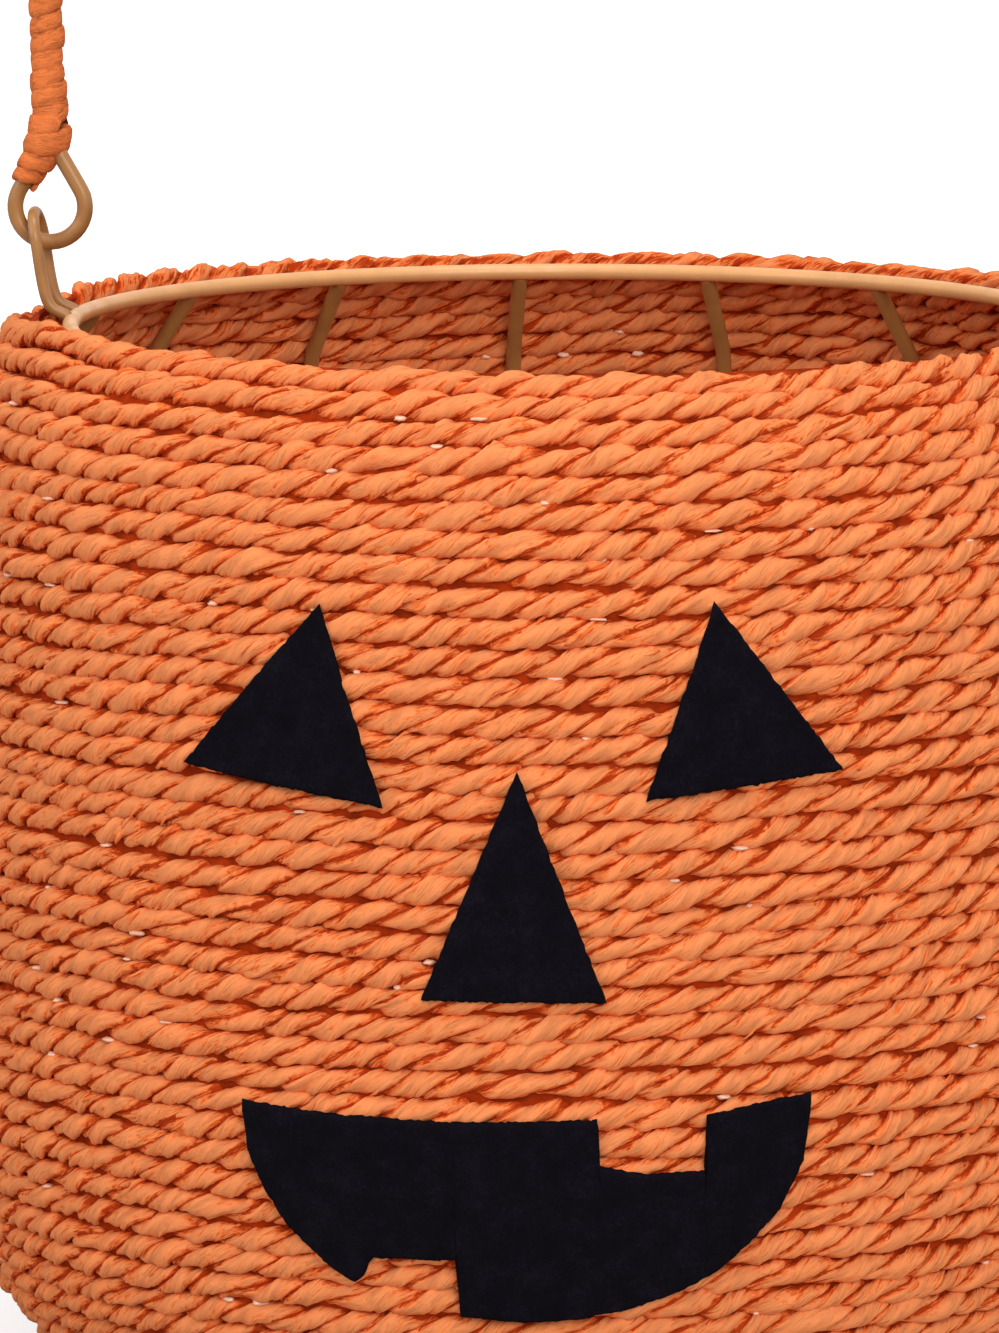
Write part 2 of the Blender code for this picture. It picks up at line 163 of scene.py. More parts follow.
MOUTH_BOTTOM = [
    (-0.0503, 0.0655), (-0.0491, 0.0560), (-0.0463, 0.0500), (-0.0420, 0.0435), (-0.0341, 0.0368),
    (-0.0296, 0.0343), (-0.0277, 0.0357), (-0.0262, 0.0390), (-0.0105, 0.0392), (-0.0101, 0.0290),
    (0.0020, 0.0282), (0.0120, 0.0290), (0.0210, 0.0308), (0.0300, 0.0339), (0.0370, 0.0375),
    (0.0425, 0.0422), (0.0476, 0.0477), (0.0517, 0.0560), (0.0533, 0.0683),
]
FELT_GRID = 0.0005
FELT_RAGGED = 0.00022          # how far the outline strays
FELT_SUNK = 0.0002             # how far the felt is pressed in between the rows
FELT_FIELD = 0.2               # width of the field of chance that the felt's unevenness is taken from

# Dabs of glue that show, as (azimuth in degrees, height, half length)
SEEN_DABS = np.array([
    (96.0, 0.1724, 0.00135), (88.2, 0.1724, 0.00115), (104.0, 0.1728, 0.0010), (90.0, 0.1804, 0.00115),
    (289.5, 0.1136, 0.00154), (250.8, 0.1180, 0.0012), (283.8, 0.1064, 0.0010), (276.2, 0.1300, 0.0009),
    (228.2, 0.1292, 0.0007), (290.5, 0.1012, 0.0008), (262.8, 0.1296, 0.0007), (256.0, 0.1396, 0.0007),
])
SHARE_INSIDE = 0.4             # share of the other dabs that lie on the inside of the wall
DAB_INSIDE, DAB_OUTSIDE = -0.50, 0.42  # how far out of the rope's centre a dab lies, in rope radii

# The photo, for the camera
PHOTO_WIDTH, PHOTO_HEIGHT = 999, 1333
FOCAL_PIXELS = 9824.0
AXIS_PIXEL = 572.8
SENSOR_HEIGHT = 36.0           # in millimetres
LIT_HEIGHT = 0.12              # height that the lamps face


def length_setting(name, description, default):
    return FloatProperty(name=name, description=description, default=default, unit="LENGTH")


def colour_setting(name, description, default):
    return FloatVectorProperty(
        name=name, description=description, default=default, subtype="COLOR", min=0, max=1)


class BasketRope(PropertyGroup):
    diameter: length_setting("Diameter", "Thickness of the paper rope", 0.0050)
    pitch: length_setting("Row spacing", "Distance from one row to the next", 0.0050)
    lay: length_setting("Lay", "Length in which a strand goes once round the rope", 0.0182)
    waver: length_setting("Waver", "How far rows stray from an even winding", 0.0009)
    crumple: length_setting("Crumple", "Depth of the folds in the paper", 0.00074)
    # Painted light and shade: the flats colour stands for the lit tops, the sides colour for the shaded sides,
    # and the grooves colour is painted shade between strands and rows.
    lit_pale: colour_setting("Flats", "Colour of the paper's flat tops", (0.90, 0.275, 0.092))
    shaded_deep: colour_setting("Sides", "Colour of the strands' sides", (0.82, 0.155, 0.030))
    groove_shade: colour_setting("Grooves", "Colour between the strands", (0.44, 0.040, 0.004))
    frays: IntProperty(
        name="Frays", description="Places where a loose edge of paper is looked for", default=5000, min=0)


class BasketWire(PropertyGroup):
    paint: colour_setting("Paint", "Colour of the painted wire", (0.405, 0.182, 0.052))
    # Painted light: the ring gets a paler copy of the wire's paint because its top faces the light.
    ring: colour_setting("Ring paint", "Paler colour of the ring at the mouth", (0.80, 0.40, 0.155))
    shade: colour_setting("Thin paint", "Colour where the paint is thin", (0.30, 0.125, 0.033))


class BasketTwine(PropertyGroup):
    pitch: length_setting("Turn spacing", "Distance from one turn to the next", 0.0034)
    thickness: length_setting("Thickness", "Thickness of the twine on the wire", 0.0016)
    colour: colour_setting("Colour", "Colour of the twine", (0.74, 0.185, 0.048))


class BasketFelt(PropertyGroup):
    thickness: length_setting("Thickness", "Thickness of the felt", 0.0016)
    colour: colour_setting("Colour", "Colour of the felt", (0.0056, 0.0048, 0.0074))


class BasketGlue(PropertyGroup):
    colour: colour_setting("Colour", "Colour of the set glue", (0.95, 0.56, 0.38))
    count: IntProperty(name="Dabs", description="Dabs of glue left to chance", default=300, min=0)


class BasketStage(PropertyGroup):
    distance: length_setting("Distance", "From the camera to the basket's centre line", 1.8)
    azimuth: FloatProperty(
        name="Azimuth", description="Camera's turn to the right of the face", default=math.radians(5.0),
        subtype="ANGLE")
    rise: length_setting("Camera height", "Height of the camera", 0.386)
    tilt: FloatProperty(
        name="Tilt", description="How far the camera looks down", default=0.1426, subtype="ANGLE")
    key: FloatProperty(
        name="Key light", description="Power of the large front light", default=50.0, unit="POWER")
    sky: FloatProperty(name="Sky", description="Strength of the light from all round", default=0.33)


def smooth_step(share):
    return share * share * (3 - 2 * share)


def uneven(rng, place, grain):
    """Smooth chance along a line: a value from -1 to 1 every grain, eased between neighbours by 3t2 - 2t3."""
    cell = np.floor(place / grain).astype(int)
    share = smooth_step(place / grain - cell)
    values = rng.uniform(-1, 1, cell.max() + 2)
    return values[cell] * (1 - share) + values[cell + 1] * share


def uneven_skin(rng, place, around, grain, columns, folded=False):
    """Chance on a long tube: values on a lattice, the same after one turn around.

    Between the lattice's lines the values are eased both ways, or go straight where the skin is folded.
    """
    cell = np.floor(place / grain).astype(int)
    share = place / grain - cell
    turn = (around % 1.0) * columns
    column = np.floor(turn).astype(int)
    across = turn - column
    if not folded:
        share, across = smooth_step(share), smooth_step(across)
    values = rng.uniform(-1, 1, (cell.max() + 2, columns))
    first, second = column % columns, (column + 1) % columns
    low = values[cell, first] * (1 - across) + values[cell, second] * across
    high = values[cell + 1, first] * (1 - across) + values[cell + 1, second] * across
    return low * (1 - share) + high * share


def unit(vectors):
    return vectors / np.linalg.norm(vectors, axis=-1, keepdims=True)


def turned(radius, turn, height):
    """Points at these radii, angles round the centre line and heights."""
    x, y, z = np.broadcast_arrays(radius * np.cos(turn), radius * np.sin(turn), height)
    return np.stack([x, y, z], axis=-1)


def travelled_along(points):
    """Length of the path from its first point to each of its points."""
    return np.concatenate([[0], np.cumsum(np.linalg.norm(np.diff(points, axis=0), axis=1))])


def at_places(places, track, values):
    """Rows of values (n, 3) that belong to the places along a track, interpolated between its points."""
    return np.stack([np.interp(places, track, values[:, axis]) for axis in range(3)], axis=1)


def wall_profile(rope):
    """Centre line of the rope seen from the side: distance, radius, height and outward normal.

    The base is flat; heel and shoulder are quarters of superellipses that meet upright at the belly.
    """
    half = rope.diameter / 2
    foot = BASE_RADIUS - half
    belly = BELLY_RADIUS - half
    mouth = RING_RADIUS + RING_WIRE / 2 + RIM_ROOM + half
    top = RING_HEIGHT + RIM_RISE
    turn = np.linspace(0.0, math.pi / 2, PROFILE_SAMPLES, endpoint=False)
    heel_r = foot + (belly - foot) * np.sin(turn) ** (2 / HEEL_SQUARENESS)
    heel_z = BELLY_HEIGHT - (BELLY_HEIGHT - half) * np.cos(turn) ** (2 / HEEL_SQUARENESS)
    share = np.linspace(0.0, 1.0, PROFILE_SAMPLES) * SHOULDER_SHARE
    round_in = 1 - (1 - share ** SHOULDER_SQUARENESS) ** (1 / SHOULDER_SQUARENESS)
    shoulder_r = belly - (belly - mouth) * round_in / round_in[-1]
    shoulder_z = BELLY_HEIGHT + (top - BELLY_HEIGHT) * share / SHOULDER_SHARE
    floor_r = np.linspace(0.0, foot, PROFILE_SAMPLES, endpoint=False)
    radius = np.concatenate([floor_r, heel_r, shoulder_r])
    height = np.concatenate([np.full(PROFILE_SAMPLES, half), heel_z, shoulder_z])
    distance = np.concatenate([[0.0], np.cumsum(np.hypot(np.diff(radius), np.diff(height)))])
    along_r = np.gradient(radius, distance)
    along_z = np.gradient(height, distance)
    length = np.hypot(along_r, along_z)
    return distance, radius, height, along_z / length, -along_r / length


def off_profile(profile, distance, offset):
    """Radius and height at a distance along the profile, moved outward from the rope's centre by offset."""
    track, radius, height, normal_r, normal_z = profile
    r = np.interp(distance, track, radius) + offset * np.interp(distance, track, normal_r)
    z = np.interp(distance, track, height) + offset * np.interp(distance, track, normal_z)
    return r, z


def mesh_from_arrays(name, points, corners, counts, material):
    """Mesh from points (n, 3), all faces' corners in a row, and each face's number of corners."""
    mesh = bpy.data.meshes.new(name)
    mesh.vertices.add(len(points))
    mesh.vertices.foreach_set("co", np.asarray(points, dtype=np.float32).ravel())
    mesh.loops.add(len(corners))
    mesh.loops.foreach_set("vertex_index", np.asarray(corners, dtype=np.int32))
    mesh.polygons.add(len(counts))
    starts = np.concatenate([[0], np.cumsum(counts)[:-1]])
    mesh.polygons.foreach_set("loop_start", starts.astype(np.int32))
    mesh.polygons.foreach_set("use_smooth", np.ones(len(counts), dtype=bool))
    mesh.update(calc_edges=True)
    mesh.materials.append(material)
    thing = bpy.data.objects.new(name, mesh)
    bpy.context.scene.collection.objects.link(thing)
    return thing


def grid_faces(rows, columns, wrap_columns, wrap_rows=False):
    """Corners of the quads of a grid of points, wound so that columns by rows points outward."""
    last_row = rows if wrap_rows else rows - 1
    last_column = columns if wrap_columns else columns - 1
    i, j = np.meshgrid(np.arange(last_row), np.arange(last_column), indexing="ij")
    next_i, next_j = (i + 1) % rows, (j + 1) % columns
    quads = [i * columns + j, i * columns + next_j, next_i * columns + next_j, next_i * columns + j]
    return np.stack(quads, axis=-1).reshape(-1, 4)


def add_hoop(name, rings, material):
    """Tube that closes on itself: rings of points (rings, around, 3), anticlockwise about the way of travel."""
    quads = grid_faces(*rings.shape[:2], wrap_columns=True, wrap_rows=True)
    return mesh_from_arrays(name, rings.reshape(-1, 3), quads.ravel(), np.full(len(quads), 4), material)


def add_tubes(name, tubes, material):
    """Tubes with closed ends in one mesh: rings of points (tubes, rings, around, 3), wound as for add_hoop."""
    count, rows, columns, _ = tubes.shape
    start = (np.arange(count) * rows * columns)[:, None]
    quads = (grid_faces(rows, columns, wrap_columns=True).ravel() + start).ravel()
    ends = np.concatenate([np.arange(columns)[::-1], (rows - 1) * columns + np.arange(columns)])
    corners = np.concatenate([quads, (ends + start).ravel()])
    counts = np.concatenate([np.full(len(quads) // 4, 4), np.full(2 * count, columns)])
    return mesh_from_arrays(name, tubes.reshape(-1, 3), corners, counts, material)


def add_values(thing, name, values):
    """A number on each vertex, which a material reads by its name."""
    layer = thing.data.attributes.new(name, "FLOAT", "POINT")
    layer.data.foreach_set("value", np.asarray(values, dtype=np.float32).ravel())


def add_map(thing, along, across_start, across_end):
    """UV map of an open tube, in metres: along the path, and across from each column to the next.

    along has a value for each ring; across_start and across_end have one for each column of faces.
    """
    rows, columns = len(along), len(across_start)
    u, next_u, v, next_v = (np.broadcast_to(values, (rows - 1, columns)) for values in (
        along[:-1, None], along[1:, None], across_start, across_end))
    faces = np.stack([u, v, u, next_v, next_u, next_v, next_u, v], axis=-1).reshape(-1)
    ends = np.stack([np.repeat(along[[0, -1]], columns), np.zeros(2 * columns)], axis=-1).reshape(-1)
    layer = thing.data.uv_layers.new(name="along_and_across")
    layer.data.foreach_set("uv", np.concatenate([faces, ends]).astype(np.float32))


def crease_edges(thing, columns, crease_columns):
    """Marks the long edges of a tube that lie on these columns as sharp."""
    ends = np.empty(len(thing.data.edges) * 2, dtype=np.int32)
    thing.data.edges.foreach_get("vertices", ends)
    first, second = ends[0::2] % columns, ends[1::2] % columns
    layer = thing.data.attributes.new("sharp_edge", "BOOLEAN", "EDGE")
    layer.data.foreach_set("value", (first == second) & np.isin(first, crease_columns))


def wire_rings(points, radius, upright, sides=16, closed=False):
    """Rings of a round wire: at each point a circle square to the path, turned so that it starts at upright.

    An open wire ends in half balls: five rings at each end whose radius falls as a cosine.
    """
    upright = np.asarray(upright, dtype=float)
    radii = np.full(len(points), radius)
    if closed:
        along = unit(np.roll(points, -1, axis=0) - np.roll(points, 1, axis=0))
    else:
        along = unit(np.gradient(points, axis=0))
        tilt = np.radians([12, 30, 50, 70, 88])
        ball = radius * np.sin(tilt)[:, None]
        points = np.concatenate([(points[0] - along[0] * ball)[::-1], points, points[-1] + along[-1] * ball])
        along = np.concatenate([
            np.repeat(along[:1], len(tilt), axis=0), along, np.repeat(along[-1:], len(tilt), axis=0)])
        radii = np.concatenate([(radius * np.cos(tilt))[::-1], radii, radius * np.cos(tilt)])
    side = unit(upright - along * (along @ upright)[:, None])
    other = np.cross(along, side)
    turn = np.arange(sides) * math.tau / sides
    circle = side[:, None] * np.cos(turn)[:, None] + other[:, None] * np.sin(turn)[:, None]
    return points[:, None] + circle * radii[:, None, None]


def evenly_along(points, step):
    """Points about a step apart, on a smooth curve through the given ones (Catmull and Rom)."""
    padded = np.concatenate([2 * points[:1] - points[1:2], points, 2 * points[-1:] - points[-2:-1]])
    t = np.linspace(0, 1, 24, endpoint=False)[:, None, None]
    before, start, end, after = padded[:-3], padded[1:-2], padded[2:-1], padded[3:]
    curve = 0.5 * (2 * start + (end - before) * t + (2 * before - 5 * start + 4 * end - after) * t ** 2
                   + (3 * start - before - 3 * end + after) * t ** 3)
    fine = np.concatenate([curve.transpose(1, 0, 2).reshape(-1, 3), points[-1:]])
    travelled = travelled_along(fine)
    count = max(int(travelled[-1] / step), 2) + 1
    return at_places(np.linspace(0, travelled[-1], count), travelled, fine)


def settle(piece, body, slot, *nodes):
    """Parents the piece to the body that carries it and hides the CAD nodes that it takes the place of. slot is
    not used.
    """
    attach(piece, body)
    if nodes:
        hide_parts(*nodes)


def add_node(tree, kind, values=(), **settings):
    """A shader node with its settings, and (socket, value or linked output) pairs."""
    node = tree.nodes.new(kind)
    for name, value in settings.items():
        setattr(node, name, value)
    for socket, value in values:
        if isinstance(value, bpy.types.NodeSocket):
            tree.links.new(value, node.inputs[socket])
        else:
            node.inputs[socket].default_value = value
    return node


def math_node(tree, operation, first, second=0.0, third=0.0):
    return add_node(
        tree, "ShaderNodeMath", [(0, first), (1, second), (2, third)], operation=operation).outputs[0]


def vector_node(tree, operation, *vectors):
    return add_node(tree, "ShaderNodeVectorMath", enumerate(vectors), operation=operation)


def noise(tree, place, scale, detail, roughness=0.5, distortion=0.0, dimensions="3D"):
    return add_node(tree, "ShaderNodeTexNoise", [
        ("Vector", place), ("Scale", scale), ("Detail", detail), ("Roughness", roughness),
        ("Distortion", distortion)], noise_dimensions=dimensions).outputs


def in_range(tree, value, low, high, at_low=0.0, at_high=1.0, interpolation="LINEAR"):
    """Maps low to high onto at_low to at_high, and holds the ends."""
    return add_node(tree, "ShaderNodeMapRange", [
        ("Value", value), ("From Min", low), ("From Max", high), ("To Min", at_low), ("To Max", at_high)],
        interpolation_type=interpolation).outputs["Result"]


def ramp(tree, factor, stops):
    """A colour ramp with stops (position, colour)."""
    node = add_node(tree, "ShaderNodeValToRGB", [("Fac", factor)])
    elements = node.color_ramp.elements
    while len(elements) < len(stops):
        elements.new(0.5)
    for element, (position, colour) in zip(elements, stops):
        element.position = position
        element.color = (*colour, 1.0)
    return node.outputs["Color"]


def object_place(tree):
    return add_node(tree, "ShaderNodeTexCoord").outputs["Object"]


def add_bump(tree, shader, height, strength, distance):
    bump = add_node(
        tree, "ShaderNodeBump", [("Height", height), ("Strength", strength), ("Distance", distance)])
    tree.links.new(bump.outputs["Normal"], shader.inputs["Normal"])


def new_group(name, inputs, outputs):
    """An empty node group with a vector input, number inputs (name, default) and number outputs."""
    tree = bpy.data.node_groups.new(name, "ShaderNodeTree")
    tree.interface.new_socket(name="Vector", in_out="INPUT", socket_type="NodeSocketVector")
    for label, default in inputs:
        socket = tree.interface.new_socket(name=label, in_out="INPUT", socket_type="NodeSocketFloat")
        socket.default_value = default
    for label in outputs:
        tree.interface.new_socket(name=label, in_out="OUTPUT", socket_type="NodeSocketFloat")
    return tree, tree.nodes.new("NodeGroupInput").outputs, tree.nodes.new("NodeGroupOutput").inputs


def place_group(tree, name, values):
    return add_node(tree, "ShaderNodeGroup", values, node_tree=bpy.data.node_groups[name]).outputs


def make_paper_group():
    """Crumpled paper: folds and thin streaks where noise crosses its middle, each shown only in places; the
    materials paint shade along the creases.
    """
    tree, given, out = new_group(
        "crumpled_paper", [("Length", 6.0), ("Width", 1.6)], ("Height", "Crease_shade", "Tone"))
    scale = add_node(tree, "ShaderNodeCombineXYZ", [
        (0, math_node(tree, "DIVIDE", 1.0, given["Length"])),
        (1, math_node(tree, "DIVIDE", 1.0, given["Width"])), (2, 1.0)])
    stretched = vector_node(tree, "MULTIPLY", given["Vector"], scale.outputs[0]).outputs[0]
    drift = noise(tree, stretched, 0.9, 2.0, dimensions="2D")["Color"]
    warped = vector_node(tree, "MULTIPLY_ADD", drift, (0.8, 0.8, 0.0), stretched).outputs[0]
    broad = noise(tree, warped, 1.0, 1.0, dimensions="2D")["Fac"]
    where = noise(tree, stretched, 0.43, 1.0, dimensions="2D")["Fac"]
    fine = noise(tree, warped, 3.0, 5.0, roughness=0.68, dimensions="2D")["Fac"]
    drawn_out = vector_node(tree, "MULTIPLY", stretched, (0.8, 4.2, 0.0)).outputs[0]
    thin = noise(tree, drawn_out, 1.0, 1.5, dimensions="2D")["Fac"]
    off_fold, off_streak = (
        math_node(tree, "ABSOLUTE", math_node(tree, "SUBTRACT", field, 0.5)) for field in (broad, thin))
    fold = in_range(tree, off_fold, 0.0, 0.08, 1.0, 0.0, interpolation="SMOOTHSTEP")
    streak = in_range(tree, off_streak, 0.0, 0.045, 1.0, 0.0)
    crease = math_node(
        tree, "MAXIMUM", math_node(tree, "MULTIPLY", fold, in_range(tree, where, 0.44, 0.60)),
        math_node(tree, "MULTIPLY", streak, in_range(tree, broad, 0.42, 0.56)))
    sunk = math_node(tree, "MULTIPLY_ADD", crease, -0.30, broad)
    tree.links.new(math_node(tree, "MULTIPLY_ADD", fine, 0.80, sunk), out["Height"])
    # The crease lines, which the materials darken as painted shade.
    tree.links.new(crease, out["Crease_shade"])
    half_broad = math_node(tree, "MULTIPLY", broad, 0.5)
    tree.links.new(math_node(tree, "MULTIPLY_ADD", fine, 0.5, half_broad), out["Tone"])


def make_wear_group():
    """Brushed paint: slow blotches and small specks, from two sizes of noise in metres."""
    tree, given, out = new_group("paint_wear", [], ("Thin", "Height"))
    slow = noise(tree, given["Vector"], 180.0, 3.0)["Fac"]
    specks = noise(tree, given["Vector"], 900.0, 2.0)["Fac"]
    tree.links.new(in_range(tree, slow, 0.42, 0.75), out["Thin"])
    tree.links.new(math_node(tree, "MULTIPLY_ADD", specks, 0.35, slow), out["Height"])


def shaded(colour, factor):
    return tuple(min(channel * factor, 1.0) for channel in colour)


def new_material(name, values):
    """A material, its tree and its shader, with (socket, value) pairs set on the shader."""
    material = bpy.data.materials.new(name)
    material.use_nodes = True
    shader = material.node_tree.nodes["Principled BSDF"]
    for socket, value in values:
        shader.inputs[socket].default_value = value
    return material, material.node_tree, shader


def paper_material(name, lit_pale, shaded_deep, groove_shade, length, width, relief):
    """Twisted paper with painted light and shade: lighter on the strands' tops, painted shade on their sides
    and between rows and strands.

    length and width are those of the paper's creases, in millimetres on the UV map.
    """
    material, tree, shader = new_material(name, [("Roughness", 0.85), ("Specular IOR Level", 0.08)])
    uv = add_node(tree, "ShaderNodeUVMap", uv_map="along_and_across").outputs[0]
    millimetres = vector_node(tree, "MULTIPLY", uv, (1000.0, 1000.0, 1000.0)).outputs[0]
    paper = place_group(
        tree, "crumpled_paper", [("Vector", millimetres), ("Length", length), ("Width", width)])
    crest_shading, tone = (
        add_node(tree, "ShaderNodeAttribute", attribute_name=label).outputs["Fac"]
        for label in ("crest_shading", "tone"))
    # Painted light and shade from the crest values, mottled by the paper's random tone.
    mottled = math_node(tree, "ADD", crest_shading, math_node(tree, "MULTIPLY_ADD", paper["Tone"], 3.2, -1.59))
    toned = math_node(tree, "MULTIPLY_ADD", tone, 0.24, math_node(tree, "SUBTRACT", mottled, 0.07))
    # Painted shade along the creases.
    creased = math_node(tree, "MULTIPLY_ADD", paper["Crease_shade"], -0.40, toned)
    tan = tuple(channel * factor for channel, factor in zip(lit_pale, (1.0, 1.03, 1.08)))
    # The ramp runs from painted shade in the grooves to painted light on the tops; tan is its lightest stop, on
    # lit tops.
    colour = ramp(tree, creased, [(0.18, groove_shade), (0.44, shaded_deep), (0.74, lit_pale), (1.0, tan)])
    tree.links.new(colour, shader.inputs["Base Color"])
    add_bump(tree, shader, paper["Height"], 1.0, relief)
    return material


def cloudy_material(name, dull, colour, scale, detail, values):
    """One colour with slow changes of tone."""
    material, tree, shader = new_material(name, values)
    cloud = noise(tree, object_place(tree), scale, detail)["Fac"]
    tree.links.new(ramp(tree, cloud, [(0.35, dull), (0.65, colour)]), shader.inputs["Base Color"])
    return material


def plain_paper(name, dull, colour):
    return cloudy_material(
        name, dull, colour, 300.0, 3.0, [("Roughness", 0.95), ("Specular IOR Level", 0.05)])


def paint_material(name, paint, shade):
    material, tree, shader = new_material(
        name, [("Coat Weight", 0.10), ("Specular IOR Level", 0.35), ("Coat Roughness", 0.25)])
    wear = place_group(tree, "paint_wear", [("Vector", object_place(tree))])
    tree.links.new(ramp(tree, wear["Thin"], [(0.0, paint), (1.0, shade)]), shader.inputs["Base Color"])
    tree.links.new(in_range(tree, wear["Thin"], 0.0, 1.0, 0.30, 0.50), shader.inputs["Roughness"])
    add_bump(tree, shader, wear["Height"], 0.5, 0.00004)
    return material


def felt_material(name, colour):
    material, tree, shader = new_material(name, [("Roughness", 1.0), ("Specular IOR Level", 0.02)])
    place = object_place(tree)
    fibres = noise(tree, place, 1500.0, 4.0, roughness=0.7, distortion=1.2)["Fac"]
    mixed = math_node(tree, "MULTIPLY_ADD", noise(tree, place, 220.0, 3.0)["Fac"], 0.6, fibres)
    stops = [(0.55, shaded(colour, 0.7)), (0.82, colour), (1.0, shaded(colour, 1.6))]
    tree.links.new(ramp(tree, mixed, stops), shader.inputs["Base Color"])
    add_bump(tree, shader, mixed, 0.7, 0.0003)
    return material


def rope_path(rope):
    """The winding's length, turns, azimuth, distance along the outline, and how far it is moved outward.

    A spiral on the base and a helix up the wall: the distance grows by one pitch each turn. The last part sinks
    between the top row and the ring, and the top rows go round the feet of the ears.
    """
    rng = np.random.default_rng(31)
    track, radius, *_ = wall_profile(rope)
    full = (track[-1] - ROPE_START_RADIUS) / rope.pitch
    turns = np.linspace(0, full + TAIL_TURN / math.tau, PATH_SAMPLES)
    distance = track[-1] - (full - turns) * rope.pitch
    step = np.interp(distance, [BASE_RADIUS, BASE_RADIUS + 3 * rope.pitch], [STEP_IN_BASE, STEP_IN_WALL])
    pace = np.gradient(turns) * math.tau * np.interp(distance, track, radius)
    travelled = np.cumsum(pace) - pace[0]
    steps = np.cumsum(pace / step)
    even = np.arange(0, steps[-1])
    length = np.interp(even, steps, travelled)
    turn = np.interp(even, steps, turns)
    azimuth = ROPE_END_AZIMUTH - (full - turn) * math.tau

    shared = uneven_skin(rng, turn * rope.pitch, azimuth / math.tau, 0.028, 13)
    own = uneven(rng, length, 0.040)
    stray = rope.waver * (shared + 0.5 * own) * np.clip((full - turn) / 2, 0.2, 1)
    sunk = TAIL_SINK * np.clip((turn - full) * math.tau / TAIL_TURN, 0, 1)
    distance = track[-1] - np.maximum(full - turn, 0) * rope.pitch + stray - sunk
    facing = np.degrees(azimuth) % 360
    below_top = np.maximum(full - 1 - turn, 0)
    distance += 0.001 * np.interp(facing, *RIM_HEIGHTS.T) * np.exp(-below_top / RIM_FADE)
    outward = 0.00025 * uneven(rng, length, 0.035) - sunk
    beside_ear = np.exp(-((np.sin(azimuth) * RING_RADIUS) / EAR_REACH) ** 2)
    outward += EAR_ROOM * beside_ear * np.clip(1 - below_top / 2.5, 0, 1)
    bulge = np.exp(-((facing - BULGE_AZIMUTH) / BULGE_SPREAD) ** 2)
    outward += BULGE * bulge * np.clip(1 - below_top / 2.0, 0, 1)
    return length, turn, azimuth, np.clip(distance, 0, track[-1]), outward


def rope_rings(rope):
    """The whole winding as rings of points (steps, around, 3), with its length, turns, painted light and shade
    of the crests, and tone.

    The section turns once in a lay. Its radius is that of an ellipse, 1 / sqrt(cos2 a + sin2 a / w2) with w the
    width, less a sharp notch between the strands, e^(-d^1.4) with d the angle from the notch over its width.
    """
    rng = np.random.default_rng(47)
    track, radius, height, normal_r, normal_z = wall_profile(rope)
    length, turn, azimuth, distance, lift = rope_path(rope)
    half_lobe = math.pi / STRANDS
    lobe = np.linspace(-1, 1, LOBE_POINTS, endpoint=False)
    lobe = np.tile(np.sign(lobe) * np.abs(lobe) ** 0.72 * half_lobe, STRANDS)
    strand = np.repeat(np.arange(STRANDS), LOBE_POINTS)
    around = np.broadcast_to((lobe + strand * 2 * half_lobe) / math.tau, (len(length), len(lobe)))
    from_notch = half_lobe - np.abs(lobe)
    ragged = 1 + 0.45 * uneven_skin(rng, length[:, None], around, 0.0021, 8)
    notch = np.exp(-(from_notch / (NOTCH_ANGLE * ragged)) ** 1.4)
    full = 1.05 / np.hypot(np.cos(lobe), np.sin(lobe) / STRAND_WIDTH)
    swell, lean = (
        np.stack([uneven(rng, length + 0.01 * k, grain) for k in range(STRANDS)], axis=1)[:, strand]
        for grain in (0.008, 0.006))
    depth = NOTCH_DEPTH * (1 + 0.55 * uneven(rng, length, 0.007))
    reach = rope.diameter / 2 * full * (1 - depth[:, None] * notch)
    reach = reach * (1 + 0.11 * swell + 0.14 * lean * np.sin(lobe))
    slack = 1 + 0.06 * uneven(rng, length, 0.03)
    twist = (-math.tau * length / rope.lay + 0.7 * uneven(rng, length, 0.045)
             + 0.85 * uneven(rng, length, 0.011))
    twist -= PRESSED * np.sin(2 * twist)
    angle = twist[:, None] + lobe + strand * 2 * half_lobe
    shifted = np.maximum(length[:, None] + 0.002 * uneven_skin(rng, length[:, None], around, 0.005, 6), 0)
    folds = uneven_skin(rng, shifted, around, 0.0052, 10, folded=True)
    small = uneven_skin(rng, length[:, None], around, 0.0024, 18, folded=True)
    reach = reach * slack[:, None] + rope.crumple * (0.8 * folds + 0.7 * small) * (1 - notch)
    to_end = np.minimum(length - length[0], length[-1] - length)[:, None]
    reach = reach * np.sqrt(np.clip(to_end / ROPE_TAPER, 0.05, 1))

    out_r = np.interp(distance, track, normal_r)
    out_z = np.interp(distance, track, normal_z)
    norm = np.hypot(out_r, out_z)
    out_r, out_z = (out_r / norm)[:, None], (out_z / norm)[:, None]
    along, outward = reach * np.cos(angle), reach * np.sin(angle) + lift[:, None]
    r = np.interp(distance, track, radius)[:, None] - out_z * along + out_r * outward
    z = np.interp(distance, track, height)[:, None] + out_r * along + out_z * outward
    rings = turned(r, azimuth[:, None], np.maximum(z, 0.0))

    # Painted light and shade: darker near the notches between strands and where the section turns toward the
    # next row, lighter on raised folds.
    facing = smooth_step(np.clip(1.15 * np.abs(np.sin(angle)), 0, 1))
    crest_shading = 1 - 0.85 * np.exp(-(from_notch / (1.5 * NOTCH_ANGLE * ragged)) ** 1.5)
    crest_shading = crest_shading * (0.30 + 0.70 * facing) + 0.14 * folds + 0.12 * small
    tone = 0.5 * uneven(rng, length, 0.040)[:, None] + 0.5 * swell
    return rings, length, turn, crest_shading, tone, lobe, strand


